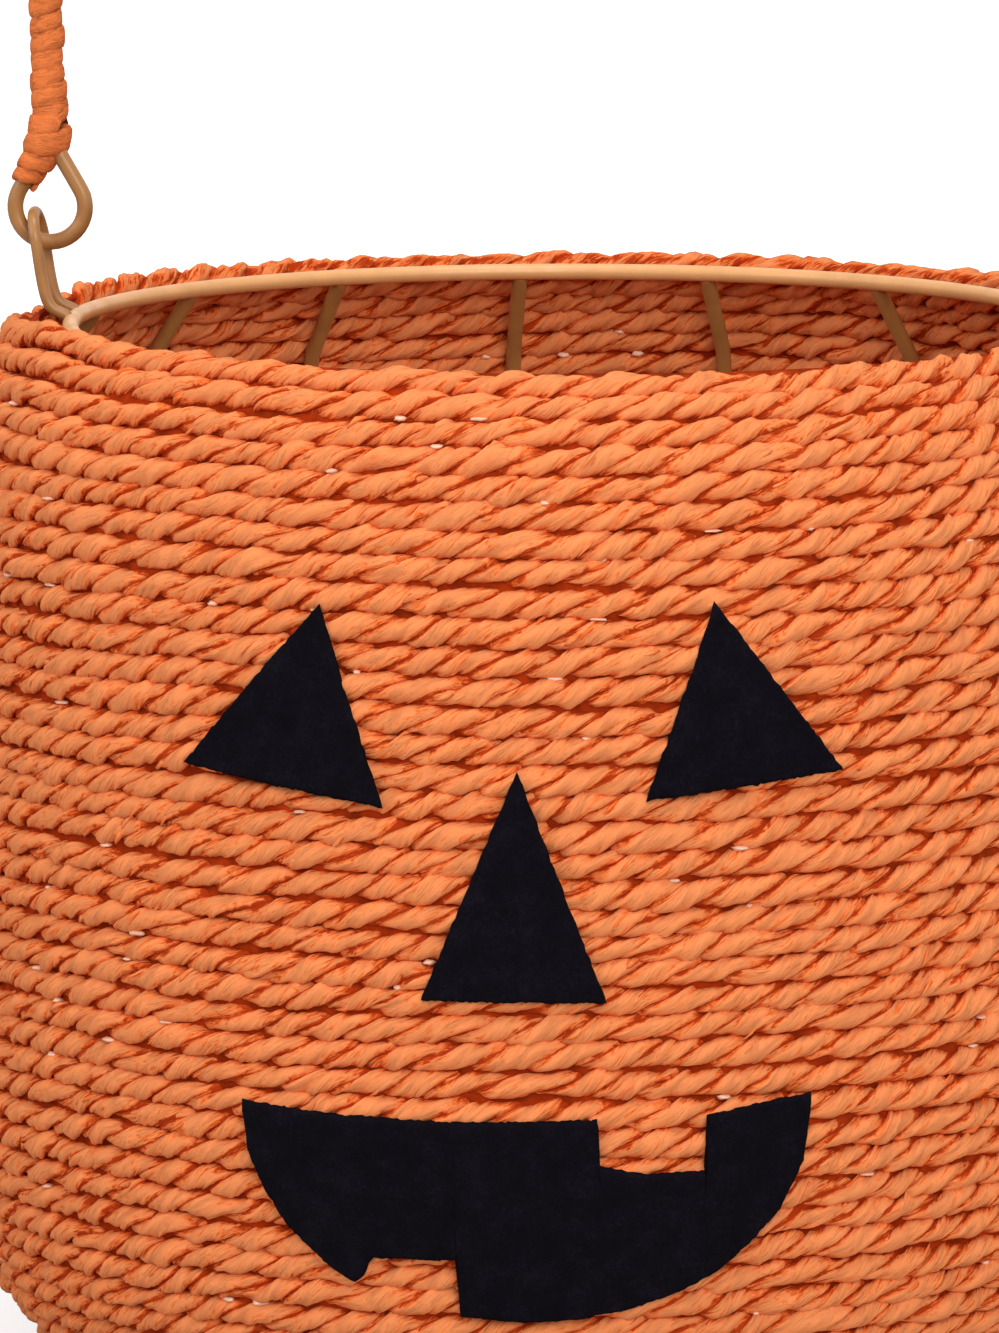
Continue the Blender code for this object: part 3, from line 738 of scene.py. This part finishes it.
def add_shadow_sheet(rope, material):
    """A thin dark skin at the rope's centre line: painted shade, a sheet that fills the chinks between rows
    where there is only shadow.
    """
    profile = wall_profile(rope)
    stops = np.linspace(0.010, profile[0][-1] - 0.0015, 120)
    half = 0.0003
    offset = np.repeat([half, -half], len(stops))
    r, z = off_profile(profile, np.concatenate([stops, stops[::-1]]), offset)
    turn = np.arange(144) * math.tau / 144
    return add_hoop("row_shadow_sheet", turned(r, turn[:, None], z), material)


def add_frays(rope, rings, first, material):
    """Loose paper edges: thin leaves that follow a strand for a few rings and lift off it toward their tips.

    Each is a diamond section, side times width and normal times thickness, carried over four rings.
    """
    rng = np.random.default_rng(93)
    columns = rings.shape[1]
    ring = rng.integers(first, len(rings) - FRAYS_TO, rope.frays)
    column = rng.integers(0, columns, rope.frays)
    middle_line = rings.mean(axis=1)
    normal = unit(rings[ring, column] - middle_line[ring])
    outward = (normal * unit(middle_line[ring] * (1, 1, 0))).sum(axis=1) > 0.35
    ring, column, normal = ring[outward], column[outward], normal[outward]
    count = len(ring)
    way = rng.choice([-1, 1], count)
    line = rings[ring[:, None] + way[:, None] * np.arange(4), column[:, None]]
    side = unit(rings[ring, (column + 1) % columns] - rings[ring, column - 1])
    along = line[:, 3] - line[:, 0]
    side *= np.sign((np.cross(side, normal) * along).sum(axis=1))[:, None]
    width = rng.uniform(0.0003, 0.0009, count)[:, None] * np.array([0.5, 1.0, 0.7, 0.12])
    lift = rng.uniform(0.4, 1.4, count)[:, None] * np.array([-0.00015, 0.00008, 0.00022, 0.00042])
    drift = rng.uniform(-0.0007, 0.0007, count)[:, None] * np.array([0.0, 0.3, 0.7, 1.2])
    thick = np.broadcast_to(np.array([0.00008, 0.00012, 0.00008, 0.00003]), width.shape)
    line = line + lift[..., None] * normal[:, None] + drift[..., None] * side[:, None]
    edge, face = width[..., None] * side[:, None], thick[..., None] * normal[:, None]
    leaves = np.stack([line + edge, line + face, line - edge, line - face], axis=2)
    return add_tubes("loose_paper", leaves, material)


class BASKET_OT_wind_rope(Operator):
    """Winds the paper rope from the middle of the base to the mouth"""

    bl_idname = "basket.wind_rope"
    bl_label = "Wind the Rope"

    def execute(self, context):
        rope = context.scene.basket_rope
        material = paper_material("rope_paper", rope.lit_pale, rope.shaded_deep, rope.groove_shade, 5.0, 1.8, 0.00030)
        rings, length, turn, crest_shading, tone, lobe, strand = rope_rings(rope)
        columns = rings.shape[1]
        across = (lobe + math.pi / STRANDS) * rope.diameter / 2 + strand * STRAND_GAP
        last_of_strand = np.arange(columns) % LOBE_POINTS == LOBE_POINTS - 1
        strand_end = strand * STRAND_GAP + math.tau / STRANDS * rope.diameter / 2
        across_end = np.where(last_of_strand, strand_end, np.roll(across, -1))
        base_turns = (BASE_RADIUS + rope.pitch - ROPE_START_RADIUS) / rope.pitch
        cuts = [0, int(np.searchsorted(turn, base_turns))]
        while turn[-1] - turn[cuts[-1]] > LOOPS_PER_PIECE * 1.3:
            cuts.append(int(np.searchsorted(turn, turn[cuts[-1]] + LOOPS_PER_PIECE)))
        cuts.append(len(length) - 1)
        for number, (first, last) in enumerate(zip(cuts[:-1], cuts[1:])):
            name = f"rope_rows_{number}" if number else "rope_of_base"
            nodes = ("rope_wall_lower", "rope_wall_upper") if number else ("rope_base",)
            part = slice(first, last + 1)
            piece = add_tubes(name, rings[None, part], material)
            add_map(piece, length[part], across, across_end)
            add_values(piece, "crest_shading", np.clip(crest_shading[part], 0, 1))
            add_values(piece, "tone", tone[part] * 0.5 + 0.5)
            crease_edges(piece, columns, np.arange(STRANDS) * LOBE_POINTS)
            settle(piece, "basket", "paper_rope", *nodes)
        # A dark sheet of painted shade behind the chinks between rows.
        shade = plain_paper("shaded_paper", shaded(rope.groove_shade, 0.5), rope.groove_shade)
        settle(add_shadow_sheet(rope, shade), "basket", "paper_rope")
        edges = plain_paper("loose_edges", rope.shaded_deep, rope.lit_pale)
        settle(add_frays(rope, rings, cuts[1] + FRAYS_FROM, edges), "basket", "paper_rope")
        return {"FINISHED"}


def rib_line(rope):
    """Centre line of a rib as radii and heights, inside the rope from the base ring to the top ring."""
    profile = wall_profile(rope)
    stops = np.linspace(BASE_RADIUS, profile[0][-1] - RIB_STRAIGHT, 28)
    r, z = off_profile(profile, stops, -(rope.diameter / 2 + WIRE / 2))
    reach = RING_WIRE / 2 * unit(np.array([r[-1] - RING_RADIUS, z[-1] - RING_HEIGHT]))
    r = np.concatenate([[BASE_RING_RADIUS], r, [RING_RADIUS + reach[0]]])
    z = np.concatenate([[BASE_RING_HEIGHT], z, [RING_HEIGHT + reach[1]]])
    return r, z


def ear_line(side):
    """Centre line of an ear: up a leg, half round the top and down again, leaning outward; side is -1 or 1."""
    half = EAR_WIDTH / 2
    ring_x = math.sqrt(RING_RADIUS ** 2 - half ** 2)
    foot = RING_WIRE * EAR_FOOT
    slope = (EAR_LEAN - EAR_KNEE_OUT) / (EAR_HEIGHT - EAR_KNEE_HEIGHT)
    turn = np.linspace(0, math.pi, 13)
    rise = EAR_HEIGHT - half + half * np.sin(turn)
    top_x = RING_RADIUS + EAR_KNEE_OUT + slope * (rise - EAR_KNEE_HEIGHT)
    leg_x = [ring_x + foot, RING_RADIUS + EAR_KNEE_OUT]
    leg_z = [RING_HEIGHT + foot, RING_HEIGHT + EAR_KNEE_HEIGHT]
    x = np.concatenate([leg_x, top_x, leg_x[::-1]])
    y = np.concatenate([[-half, -half], -half * np.cos(turn), [half, half]])
    z = np.concatenate([leg_z, RING_HEIGHT + rise, leg_z[::-1]])
    return np.stack([side * x, y, z], axis=1)


class BASKET_OT_bend_frame(Operator):
    """Bends the painted wires of the frame: rings, ribs, base wires and ears"""

    bl_idname = "basket.bend_frame"
    bl_label = "Bend the Frame"

    def execute(self, context):
        rope, wire = context.scene.basket_rope, context.scene.basket_wire
        brushed = paint_material("brushed_paint", wire.paint, wire.shade)
        # Lit and shaded copies of one paint: a paler copy for the ring, whose top faces the light, and a darker
        # copy for the ribs, base ring and cross wires, which lie in shade.
        lit_pale = paint_material("lit_ring_paint", wire.ring, shaded(wire.ring, 0.88))
        dull = paint_material("dull_paint", shaded(wire.paint, 0.92), wire.shade)
        upright = (0, 0, 1)

        def add_wire(name, node, rings, material):
            settle(add_tubes(name, rings[None], material), "basket", "painted_wire", node)

        turn = np.linspace(0, math.tau, 181)[:-1]
        for name, node, radius, height, thick, sag, material in (
                ("ring_at_mouth", "top_ring", RING_RADIUS, RING_HEIGHT, RING_WIRE, RING_SAG, lit_pale),
                ("ring_at_base", "base_ring", BASE_RING_RADIUS, BASE_RING_HEIGHT, WIRE, 0.0, dull)):
            path = turned(radius, turn, height - sag * np.clip(-np.sin(turn), 0, 1))
            ring = add_hoop(name, wire_rings(path, thick / 2, upright, closed=True), material)
            settle(ring, "basket", "painted_wire", node)
        r, z = rib_line(rope)
        for number in range(RIB_COUNT):
            turn = math.pi / 2 + (number + 0.5) * math.tau / RIB_COUNT
            rings = wire_rings(turned(r, turn, z), WIRE / 2, (-math.sin(turn), math.cos(turn), 0), sides=12)
            add_wire(f"rib_wire_{number + 1:02d}", f"rib_{number + 1:02d}", rings, dull)
        for name, node in (("cross_wire_lower", "base_wire_lower"), ("cross_wire_upper", "base_wire_upper")):
            low, high = np.array(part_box(node)[0]), np.array(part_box(node)[1])
            axis = int(np.argmax(high - low))
            start, end = (low + high) / 2, (low + high) / 2
            start[axis], end[axis] = low[axis] + WIRE / 2, high[axis] - WIRE / 2
            add_wire(name, node, wire_rings(np.linspace(start, end, 12), WIRE / 2, upright, sides=12), dull)
        for name, node, side in (("ear_wire_left", "ear_left", -1), ("ear_wire_right", "ear_right", 1)):
            path = evenly_along(ear_line(side), 0.0008)
            add_wire(name, node, wire_rings(path, EAR_WIRE / 2, (1, 0, 0)), brushed)
        return {"FINISHED"}


def side_of_handle():
    """Half of the handle's wire as points (outward from the eye's middle, above the pivot).

    From the top of the eye's inner leg down round the eye, up its outer leg and into the stem. The second value
    is the number of the first point that is wrapped.
    """
    apex = np.array([0.0, EYE_LENGTH])
    half_angle = math.asin(EYE_RADIUS / (EYE_LENGTH - EYE_RADIUS))
    leg = np.array([math.sin(half_angle), -math.cos(half_angle)])
    inner_top = apex + leg * (-1, 1) * (EYE_LENGTH - EYE_END_HEIGHT) / math.cos(half_angle)
    turn = np.linspace(math.pi - half_angle, math.tau + half_angle, 17)
    loop = np.stack([EYE_RADIUS * np.cos(turn), EYE_RADIUS + EYE_RADIUS * np.sin(turn)], axis=1)
    tail = apex + leg * (EYE_LENGTH - WRAP_TAIL_HEIGHT) / math.cos(half_angle)
    stem = unit(np.array([math.tan(math.radians(STEM_SPLAY)), 1.0]))
    share = np.linspace(0, 1, 5)[:, None]
    bend = ((1 - share) ** 2 * (apex + leg * NECK_BEND) + 2 * share * (1 - share) * apex
            + share ** 2 * (apex + stem * NECK_BEND))
    shoulder = apex + stem * (STEM_HEIGHT - EYE_LENGTH)
    return np.concatenate([[inner_top], loop, [tail], bend, [shoulder]]), 1 + len(loop)


def handle_line():
    """The handle's wire from the left eye over the arch to the right eye, and the wrap's first point."""
    side, wrap_first = side_of_handle()
    shoulder = side[-1]
    half_span = PIVOT_RADIUS + shoulder[0]
    rise = HANDLE_RISE - shoulder[1]
    turn = np.linspace(0, math.pi, 33)[1:-1]
    across = np.concatenate([
        -PIVOT_RADIUS - side[:, 0], -half_span * np.cos(turn), PIVOT_RADIUS + side[::-1, 0]])
    above = np.concatenate([side[:, 1], shoulder[1] + rise * np.sin(turn), side[::-1, 1]])
    return np.stack([across, 0 * across, PIVOT_HEIGHT + above], axis=1), wrap_first


class BASKET_OT_bend_handle(Operator):
    """Bends the handle's wire with a teardrop eye at each end"""

    bl_idname = "basket.bend_handle"
    bl_label = "Bend the Handle"

    def execute(self, context):
        line, _ = handle_line()
        rings = wire_rings(evenly_along(line, 0.0010), WIRE / 2, (0, 1, 0))
        piece = add_tubes("handle_bail", rings[None], bpy.data.materials["brushed_paint"])
        settle(piece, "handle", "painted_wire", "handle_wire")
        return {"FINISHED"}


class BASKET_OT_wrap_handle(Operator):
    """Winds paper twine tightly round the handle's wire"""

    bl_idname = "basket.wrap_handle"
    bl_label = "Wrap the Handle"

    def execute(self, context):
        """Knots are the places where a turn stands proud; the necks are thicker turns where the eyes begin."""
        twine = context.scene.basket_twine
        rng = np.random.default_rng(8)
        line, wrap_first = handle_line()
        path = evenly_along(line[wrap_first:-wrap_first], 0.0002)
        travelled = travelled_along(path)
        count = int(travelled[-1] / twine.pitch * WRAP_RINGS)
        place = np.linspace(0, travelled[-1], count)
        turn = place / twine.pitch * math.tau
        place = place + 0.12 * twine.pitch * uneven(rng, place, twine.pitch * 0.8)
        place = np.clip(place, twine.pitch / 2, travelled[-1] - twine.pitch / 2)
        centre = at_places(place, travelled, path)
        along = unit(at_places(place, travelled, np.gradient(path, travelled, axis=0)))
        side = np.cross(np.array([0.0, 1.0, 0.0]), along)
        upright = np.cross(along, side)
        radial = side * np.cos(turn)[:, None] + upright * np.sin(turn)[:, None]

        ridge = 0.7 * uneven(rng, place, 0.03)
        off = (turn - ridge + math.pi) % math.tau - math.pi
        knot = np.exp(-(off / 0.6) ** 2) * (0.5 + 0.5 * uneven(rng, place, twine.pitch))
        to_end = np.minimum(place, travelled[-1] - place)
        neck = np.exp(-((to_end - 0.011) / 0.004) ** 2)
        taper = np.sqrt(np.clip(to_end / 0.0022, 0.05, 1))
        taper = taper * (0.62 + 0.38 * smooth_step(np.clip(to_end / 0.0075, 0, 1)))
        width = 0.58 + 0.06 * uneven(rng, place, 0.0011) + 0.08 * knot + 0.16 * neck
        width = twine.pitch * width * taper
        thick = 1 + 0.14 * uneven(rng, place, 0.0013) + 0.6 * knot + 0.45 * neck
        thick = twine.thickness / 2 * thick * taper
        over_rim = np.exp(-((centre[:, 2] - WRAP_REST_HEIGHT) / WRAP_REST_SPREAD) ** 4)
        thick *= 1 - WRAP_REST_FLATNESS * over_rim * radial[:, 1] ** 2

        bend = np.arange(WRAP_COLUMNS) * math.tau / WRAP_COLUMNS
        across, outward = (
            np.sign(value) * np.abs(value) ** WRAP_SQUARENESS for value in (np.cos(bend), np.sin(bend)))
        around = np.broadcast_to(bend / math.tau, (count, WRAP_COLUMNS))
        crumple = 1 + 0.19 * uneven_skin(rng, place[:, None], around, 0.00022, 7)
        reach = (WIRE / 2 + thick)[:, None] + thick[:, None] * outward * crumple
        rings = (centre[:, None] + radial[:, None] * reach[..., None]
                 + along[:, None] * (width[:, None] * across * crumple)[..., None])
        colour = twine.colour
        # Painted light and shade on the twine: a lighter copy of its colour on the turns' outer faces and a
        # darker copy between turns.
        material = paper_material(
            "twine_paper", shaded(colour, 1.12), colour, shaded(colour, 0.45), 3.0, 0.9, 0.00035)
        piece = add_tubes("handle_twine", rings[None], material)
        wound = place * math.tau * (WIRE / 2 + twine.thickness / 2) / twine.pitch
        girth = bend * twine.pitch * 0.45
        add_map(piece, wound, girth, girth + girth[1])
        # Painted light: lighter where the twine faces outward.
        crest_shading = np.clip(0.5 + 0.5 * outward, 0, 1) ** 0.6
        tone = 0.5 + 0.5 * uneven(rng, place, 0.004)[:, None]
        add_values(piece, "crest_shading", np.broadcast_to(crest_shading, around.shape))
        add_values(piece, "tone", np.broadcast_to(tone, around.shape))
        settle(piece, "handle", "paper_twine", "handle_wrap")
        return {"FINISHED"}


def on_wall(profile, across, height, offset):
    """Points of the wall at that distance across the front and that height, outward of the rope's centre."""
    track, _, heights, *_ = profile
    start = np.searchsorted(track, BASE_RADIUS)
    r, z = off_profile(profile, np.interp(height, heights[start:], track[start:]), offset)
    return turned(r, across / BELLY_RADIUS - math.pi / 2, z)


def distance_to_outline(across, height, outline):
    """Least distance from each point of a flat grid to the straight pieces of a closed outline."""
    least = np.full(across.shape, np.inf)
    for (x0, z0), (x1, z1) in zip(outline, np.roll(outline, -1, axis=0)):
        run = np.array([x1 - x0, z1 - z0])
        length = max(run @ run, 1e-12)
        share = np.clip(((across - x0) * run[0] + (height - z0) * run[1]) / length, 0, 1)
        least = np.minimum(least, np.hypot(across - x0 - share * run[0], height - z0 - share * run[1]))
    return least


def add_felt(name, top, bottom, felt, rope, material, seed):
    """A felt piece: columns from its lower to its upper edge, bent to the wall, with a rounded, ragged rim.

    Front and back are the same grid; the front stands off by the thickness times sqrt(1 - (1 - d)2), where d is
    the distance to the outline over the rim's radius, so that both meet at the outline.
    """
    rng = np.random.default_rng(seed)
    top, bottom = np.array(top), np.array(bottom)
    left, right = top[0, 0], top[-1, 0]
    even = np.linspace(left, right, int((right - left) / FELT_GRID))
    x = np.unique(np.concatenate([even, top[:, 0], bottom[:, 0]]))
    low = np.interp(x, bottom[:, 0], bottom[:, 1])
    high = np.interp(x, top[:, 0], top[:, 1])
    rows = int((high - low).max() / FELT_GRID)
    share = 0.5 - 0.5 * np.cos(np.linspace(0, math.pi, rows))[:, None]
    share = 0.35 * share + 0.65 * np.linspace(0, 1, rows)[:, None]
    height = low + (high - low) * share
    across = np.broadcast_to(x, height.shape)
    inside = distance_to_outline(across, height, np.concatenate([bottom, top[::-1]]))
    puff = np.sqrt(1 - (1 - np.clip(inside / (felt.thickness * 0.55), 0, 1)) ** 2)
    edge = np.exp(-inside / 0.0007)
    spread = across / FELT_FIELD + 0.5

    def chance(grain):
        return uneven_skin(rng, height, spread, grain, int(FELT_FIELD / grain))

    aside, upward = (FELT_RAGGED * chance(0.0006) * edge for _ in range(2))
    soft = 0.00005 * chance(0.0009) + 0.00020 * chance(0.007)
    across, height = across + aside, height + upward
    profile = wall_profile(rope)
    low_face = rope.diameter / 2 - FELT_SUNK
    front = on_wall(profile, across, height, low_face + felt.thickness * (0.35 + 0.65 * puff) + soft)
    back = on_wall(profile, across, height, low_face + felt.thickness * (0.35 - 0.35 * puff))
    columns = len(x)
    offset = rows * columns
    front_faces = grid_faces(rows, columns, wrap_columns=False)
    rim = np.concatenate([
        np.arange(columns), np.arange(1, rows) * columns + columns - 1,
        (rows - 1) * columns + np.arange(columns - 2, -1, -1), np.arange(rows - 2, 0, -1) * columns])
    following = np.roll(rim, -1)
    band = np.stack([rim, rim + offset, following + offset, following], axis=1)
    faces = np.concatenate([front_faces, front_faces[:, ::-1] + offset, band])
    points = np.concatenate([front.reshape(-1, 3), back.reshape(-1, 3)])
    return mesh_from_arrays(name, points, faces.ravel(), np.full(len(faces), 4), material)


class BASKET_OT_lay_felt(Operator):
    """Lays the felt eyes, nose and mouth on the rope"""

    bl_idname = "basket.lay_felt"
    bl_label = "Lay the Felt"

    def execute(self, context):
        felt, rope = context.scene.basket_felt, context.scene.basket_rope
        material = felt_material("craft_felt", tuple(felt.colour))
        for seed, (name, node, top, bottom) in enumerate((
                ("left_eye", "felt_left_eye", LEFT_EYE_TOP, LEFT_EYE_BOTTOM),
                ("right_eye", "felt_right_eye", RIGHT_EYE_TOP, RIGHT_EYE_BOTTOM),
                ("nose", "felt_nose", NOSE_TOP, NOSE_BOTTOM),
                ("mouth", "felt_mouth", MOUTH_TOP, MOUTH_BOTTOM))):
            piece = add_felt(name, top, bottom, felt, rope, material, seed)
            settle(piece, "basket", "felt", node)
        return {"FINISHED"}


def add_blobs(name, places, sizes, turn, material):
    """Uneven blobs in one mesh: balls stretched by sizes (around, outward, up), whose radius strays by chance.

    turn is each blob's azimuth, a quarter turn from the way in which its first size runs.
    """
    rng = np.random.default_rng(12)
    rows, columns = 7, 10
    tilt = np.linspace(0.04, math.pi - 0.04, rows)[:, None]
    ball = turned(np.sin(tilt), np.arange(columns) * math.tau / columns, np.cos(tilt))
    stray = 1 + 0.25 * rng.uniform(-1, 1, (len(places), rows, columns, 1))
    stray[:, [0, -1]] = 1
    blob = ball * stray * sizes[:, None, None]
    face = turn[:, None, None]
    around, outward = turned(1, face + math.pi / 2, 0), turned(1, face, 0)
    points = places[:, None, None] + blob[..., :1] * around - blob[..., 1:2] * outward
    points[..., 2] += blob[..., 2]
    return add_tubes(name, points[:, ::-1], material)


class BASKET_OT_dab_glue(Operator):
    """Leaves small dabs of set glue between the rows of rope"""

    bl_idname = "basket.dab_glue"
    bl_label = "Dab the Glue"

    def execute(self, context):
        glue, rope = context.scene.basket_glue, context.scene.basket_rope
        rng = np.random.default_rng(77)
        profile = wall_profile(rope)
        _, turn, azimuth, distance, _ = rope_path(rope)

        def between_rows(lower):
            """Distance along the profile of the chink above the row that has this turn."""
            return (np.interp(lower, turn, distance) + np.interp(lower + 1, turn, distance)) / 2

        lower = rng.uniform(BASE_RADIUS / rope.pitch + 3, turn[-1] - 2.5, glue.count)
        inside = rng.uniform(0, 1, glue.count) < SHARE_INSIDE
        seen = np.interp(np.radians(SEEN_DABS[:, :1] - 360 * np.arange(1, 40)), azimuth, turn)
        seen_height = np.interp(between_rows(seen), profile[0], profile[2])
        nearest = np.argmin(np.abs(seen_height - SEEN_DABS[:, 1:2]), axis=1)
        lower = np.concatenate([lower, seen[np.arange(len(seen)), nearest]])
        inside = np.concatenate([inside, SEEN_DABS[:, 0] < 180])
        offset = rope.diameter / 2 * np.where(inside, DAB_INSIDE, DAB_OUTSIDE)
        r, z = off_profile(profile, between_rows(lower), offset)
        around = np.interp(lower, turn, azimuth)
        size = np.concatenate([rng.uniform(0.0006, 0.0017, glue.count), SEEN_DABS[:, 2]])
        high = np.where(inside, 0.00055, 0.00038) * rng.uniform(0.7, 1.3, len(lower))
        sizes = np.stack([size, np.minimum(size, 0.0011), high], axis=1)
        material = cloudy_material(
            "set_glue", shaded(glue.colour, 0.86), tuple(glue.colour), 500.0, 2.0, [("Roughness", 0.35)])
        dabs = add_blobs("glue_dabs", turned(r, around, z), sizes, around, material)
        settle(dabs, "basket", "paper_rope")
        return {"FINISHED"}


def add_thing(scene, data, place, turn, **settings):
    """An object for a lamp or a camera, at a place and turn, with settings for its data."""
    for name, value in settings.items():
        setattr(data, name, value)
    thing = bpy.data.objects.new(data.name, data)
    scene.collection.objects.link(thing)
    thing.location, thing.rotation_euler = place, turn
    return thing


class BASKET_OT_set_stage(Operator):
    """Sets a pale floor, soft studio light and a camera at the photo's angle"""

    bl_idname = "basket.set_stage"
    bl_label = "Set the Stage"

    def execute(self, context):
        scene, stage = context.scene, context.scene.basket_stage
        scene.view_settings.view_transform = "Standard"
        self.lay_floor()
        self.light_sky(scene, stage)
        for name, place, size, power in (
                ("front_light", (0.9, -2.4, 1.4), 2.0, stage.key),
                ("side_light", (-2.2, -1.2, 1.4), 1.8, stage.key * 0.48),
                ("top_light", (0.3, -0.4, 2.6), 1.6, stage.key * 0.60)):
            self.add_lamp(scene, name, place, size, power)
        self.aim_camera(scene, stage)
        return {"FINISHED"}

    def lay_floor(self):
        """A disk of rings that looks paler to the camera the farther away it is."""
        rings, sides = 40, 96
        material, tree, shader = new_material(
            "pale_floor", [("Base Color", (0.50, 0.50, 0.50, 1.0)), ("Roughness", 0.9)])
        seen = add_node(tree, "ShaderNodeLightPath").outputs["Is Camera Ray"]
        glow = add_node(tree, "ShaderNodeEmission", [("Color", (1, 1, 1, 1))])
        away = vector_node(tree, "LENGTH", object_place(tree)).outputs["Value"]
        shine = in_range(tree, away, 0.3, 1.6, 0.70, 0.95, interpolation="SMOOTHSTEP")
        tree.links.new(math_node(tree, "MULTIPLY", seen, shine), glow.inputs["Strength"])
        both = add_node(tree, "ShaderNodeAddShader", [(0, shader.outputs[0]), (1, glow.outputs[0])])
        tree.links.new(both.outputs[0], tree.nodes["Material Output"].inputs["Surface"])
        points = turned(
            np.linspace(0.02, 6.0, rings)[:, None], np.linspace(0, math.tau, sides + 1)[:-1], 0)
        quads = grid_faces(rings, sides, wrap_columns=True)[:, ::-1]
        corners = np.concatenate([quads.ravel(), np.arange(sides)])
        counts = np.concatenate([np.full(len(quads), 4), [sides]])
        mesh_from_arrays("floor", points.reshape(-1, 3), corners, counts, material)

    def light_sky(self, scene, stage):
        """A white world that is full to the camera and in reflections, and dimmer as a light."""
        scene.world = bpy.data.worlds.new("studio")
        scene.world.use_nodes = True
        tree = scene.world.node_tree
        back = tree.nodes["Background"]
        back.inputs["Color"].default_value = (1, 1, 1, 1)
        path = add_node(tree, "ShaderNodeLightPath").outputs
        seen = math_node(tree, "MAXIMUM", path["Is Camera Ray"], path["Is Glossy Ray"])
        seen = math_node(tree, "MAXIMUM", seen, path["Is Transmission Ray"])
        strength = add_node(tree, "ShaderNodeMix", [(0, seen), (2, stage.sky), (3, 1.0)], data_type="FLOAT")
        tree.links.new(strength.outputs[0], back.inputs["Strength"])

    def add_lamp(self, scene, name, place, size, power):
        """A round lamp that faces the middle of the basket."""
        aim = np.array([0, 0, LIT_HEIGHT]) - place
        turn = (math.atan2(math.hypot(*aim[:2]), -aim[2]), 0, math.atan2(aim[1], aim[0]) - math.pi / 2)
        add_thing(scene, bpy.data.lights.new(name, "AREA"), place, turn, shape="DISK", size=size, energy=power)

    def aim_camera(self, scene, stage):
        """The lens and the small turn come from the photo's size in pixels."""
        place = turned(stage.distance, stage.azimuth - math.pi / 2, stage.rise)
        turn = stage.azimuth + math.atan((AXIS_PIXEL - PHOTO_WIDTH / 2) / FOCAL_PIXELS)
        scene.camera = add_thing(
            scene, bpy.data.cameras.new("camera"), place, (math.pi / 2 - stage.tilt, 0, turn),
            sensor_fit="VERTICAL", sensor_height=SENSOR_HEIGHT,
            lens=FOCAL_PIXELS * SENSOR_HEIGHT / PHOTO_HEIGHT, clip_end=20.0)


class BASKET_PT_panel(Panel):
    """Lists the basket's pieces in the order in which they are made"""

    bl_label = "Rope Basket"
    bl_idname = "BASKET_PT_panel"
    bl_space_type = "VIEW_3D"
    bl_region_type = "UI"
    bl_category = "Basket"

    def draw(self, context):
        layout = self.layout
        for operator in OPERATORS:
            layout.operator(operator.bl_idname)
        for name in SETTINGS:
            settings = getattr(context.scene, name)
            box = layout.box()
            for key in settings.__annotations__:
                box.prop(settings, key)


SETTINGS = {
    "basket_rope": BasketRope,
    "basket_wire": BasketWire,
    "basket_twine": BasketTwine,
    "basket_felt": BasketFelt,
    "basket_glue": BasketGlue,
    "basket_stage": BasketStage,
}
OPERATORS = (
    BASKET_OT_wind_rope, BASKET_OT_bend_frame, BASKET_OT_bend_handle, BASKET_OT_wrap_handle,
    BASKET_OT_lay_felt, BASKET_OT_dab_glue, BASKET_OT_set_stage,
)


def register():
    for kind in (*SETTINGS.values(), *OPERATORS, BASKET_PT_panel):
        bpy.utils.register_class(kind)
    for name, kind in SETTINGS.items():
        setattr(bpy.types.Scene, name, PointerProperty(type=kind))


def unregister():
    for name in SETTINGS:
        delattr(bpy.types.Scene, name)
    for kind in (BASKET_PT_panel, *reversed(OPERATORS), *reversed(list(SETTINGS.values()))):
        bpy.utils.unregister_class(kind)


def main():
    register()
    make_paper_group()
    make_wear_group()
    bpy.ops.basket.wind_rope()
    bpy.ops.basket.bend_frame()
    bpy.ops.basket.bend_handle()
    bpy.ops.basket.wrap_handle()
    bpy.ops.basket.lay_felt()
    bpy.ops.basket.dab_glue()
    bpy.ops.basket.set_stage()


if __name__ == "__main__":
    main()
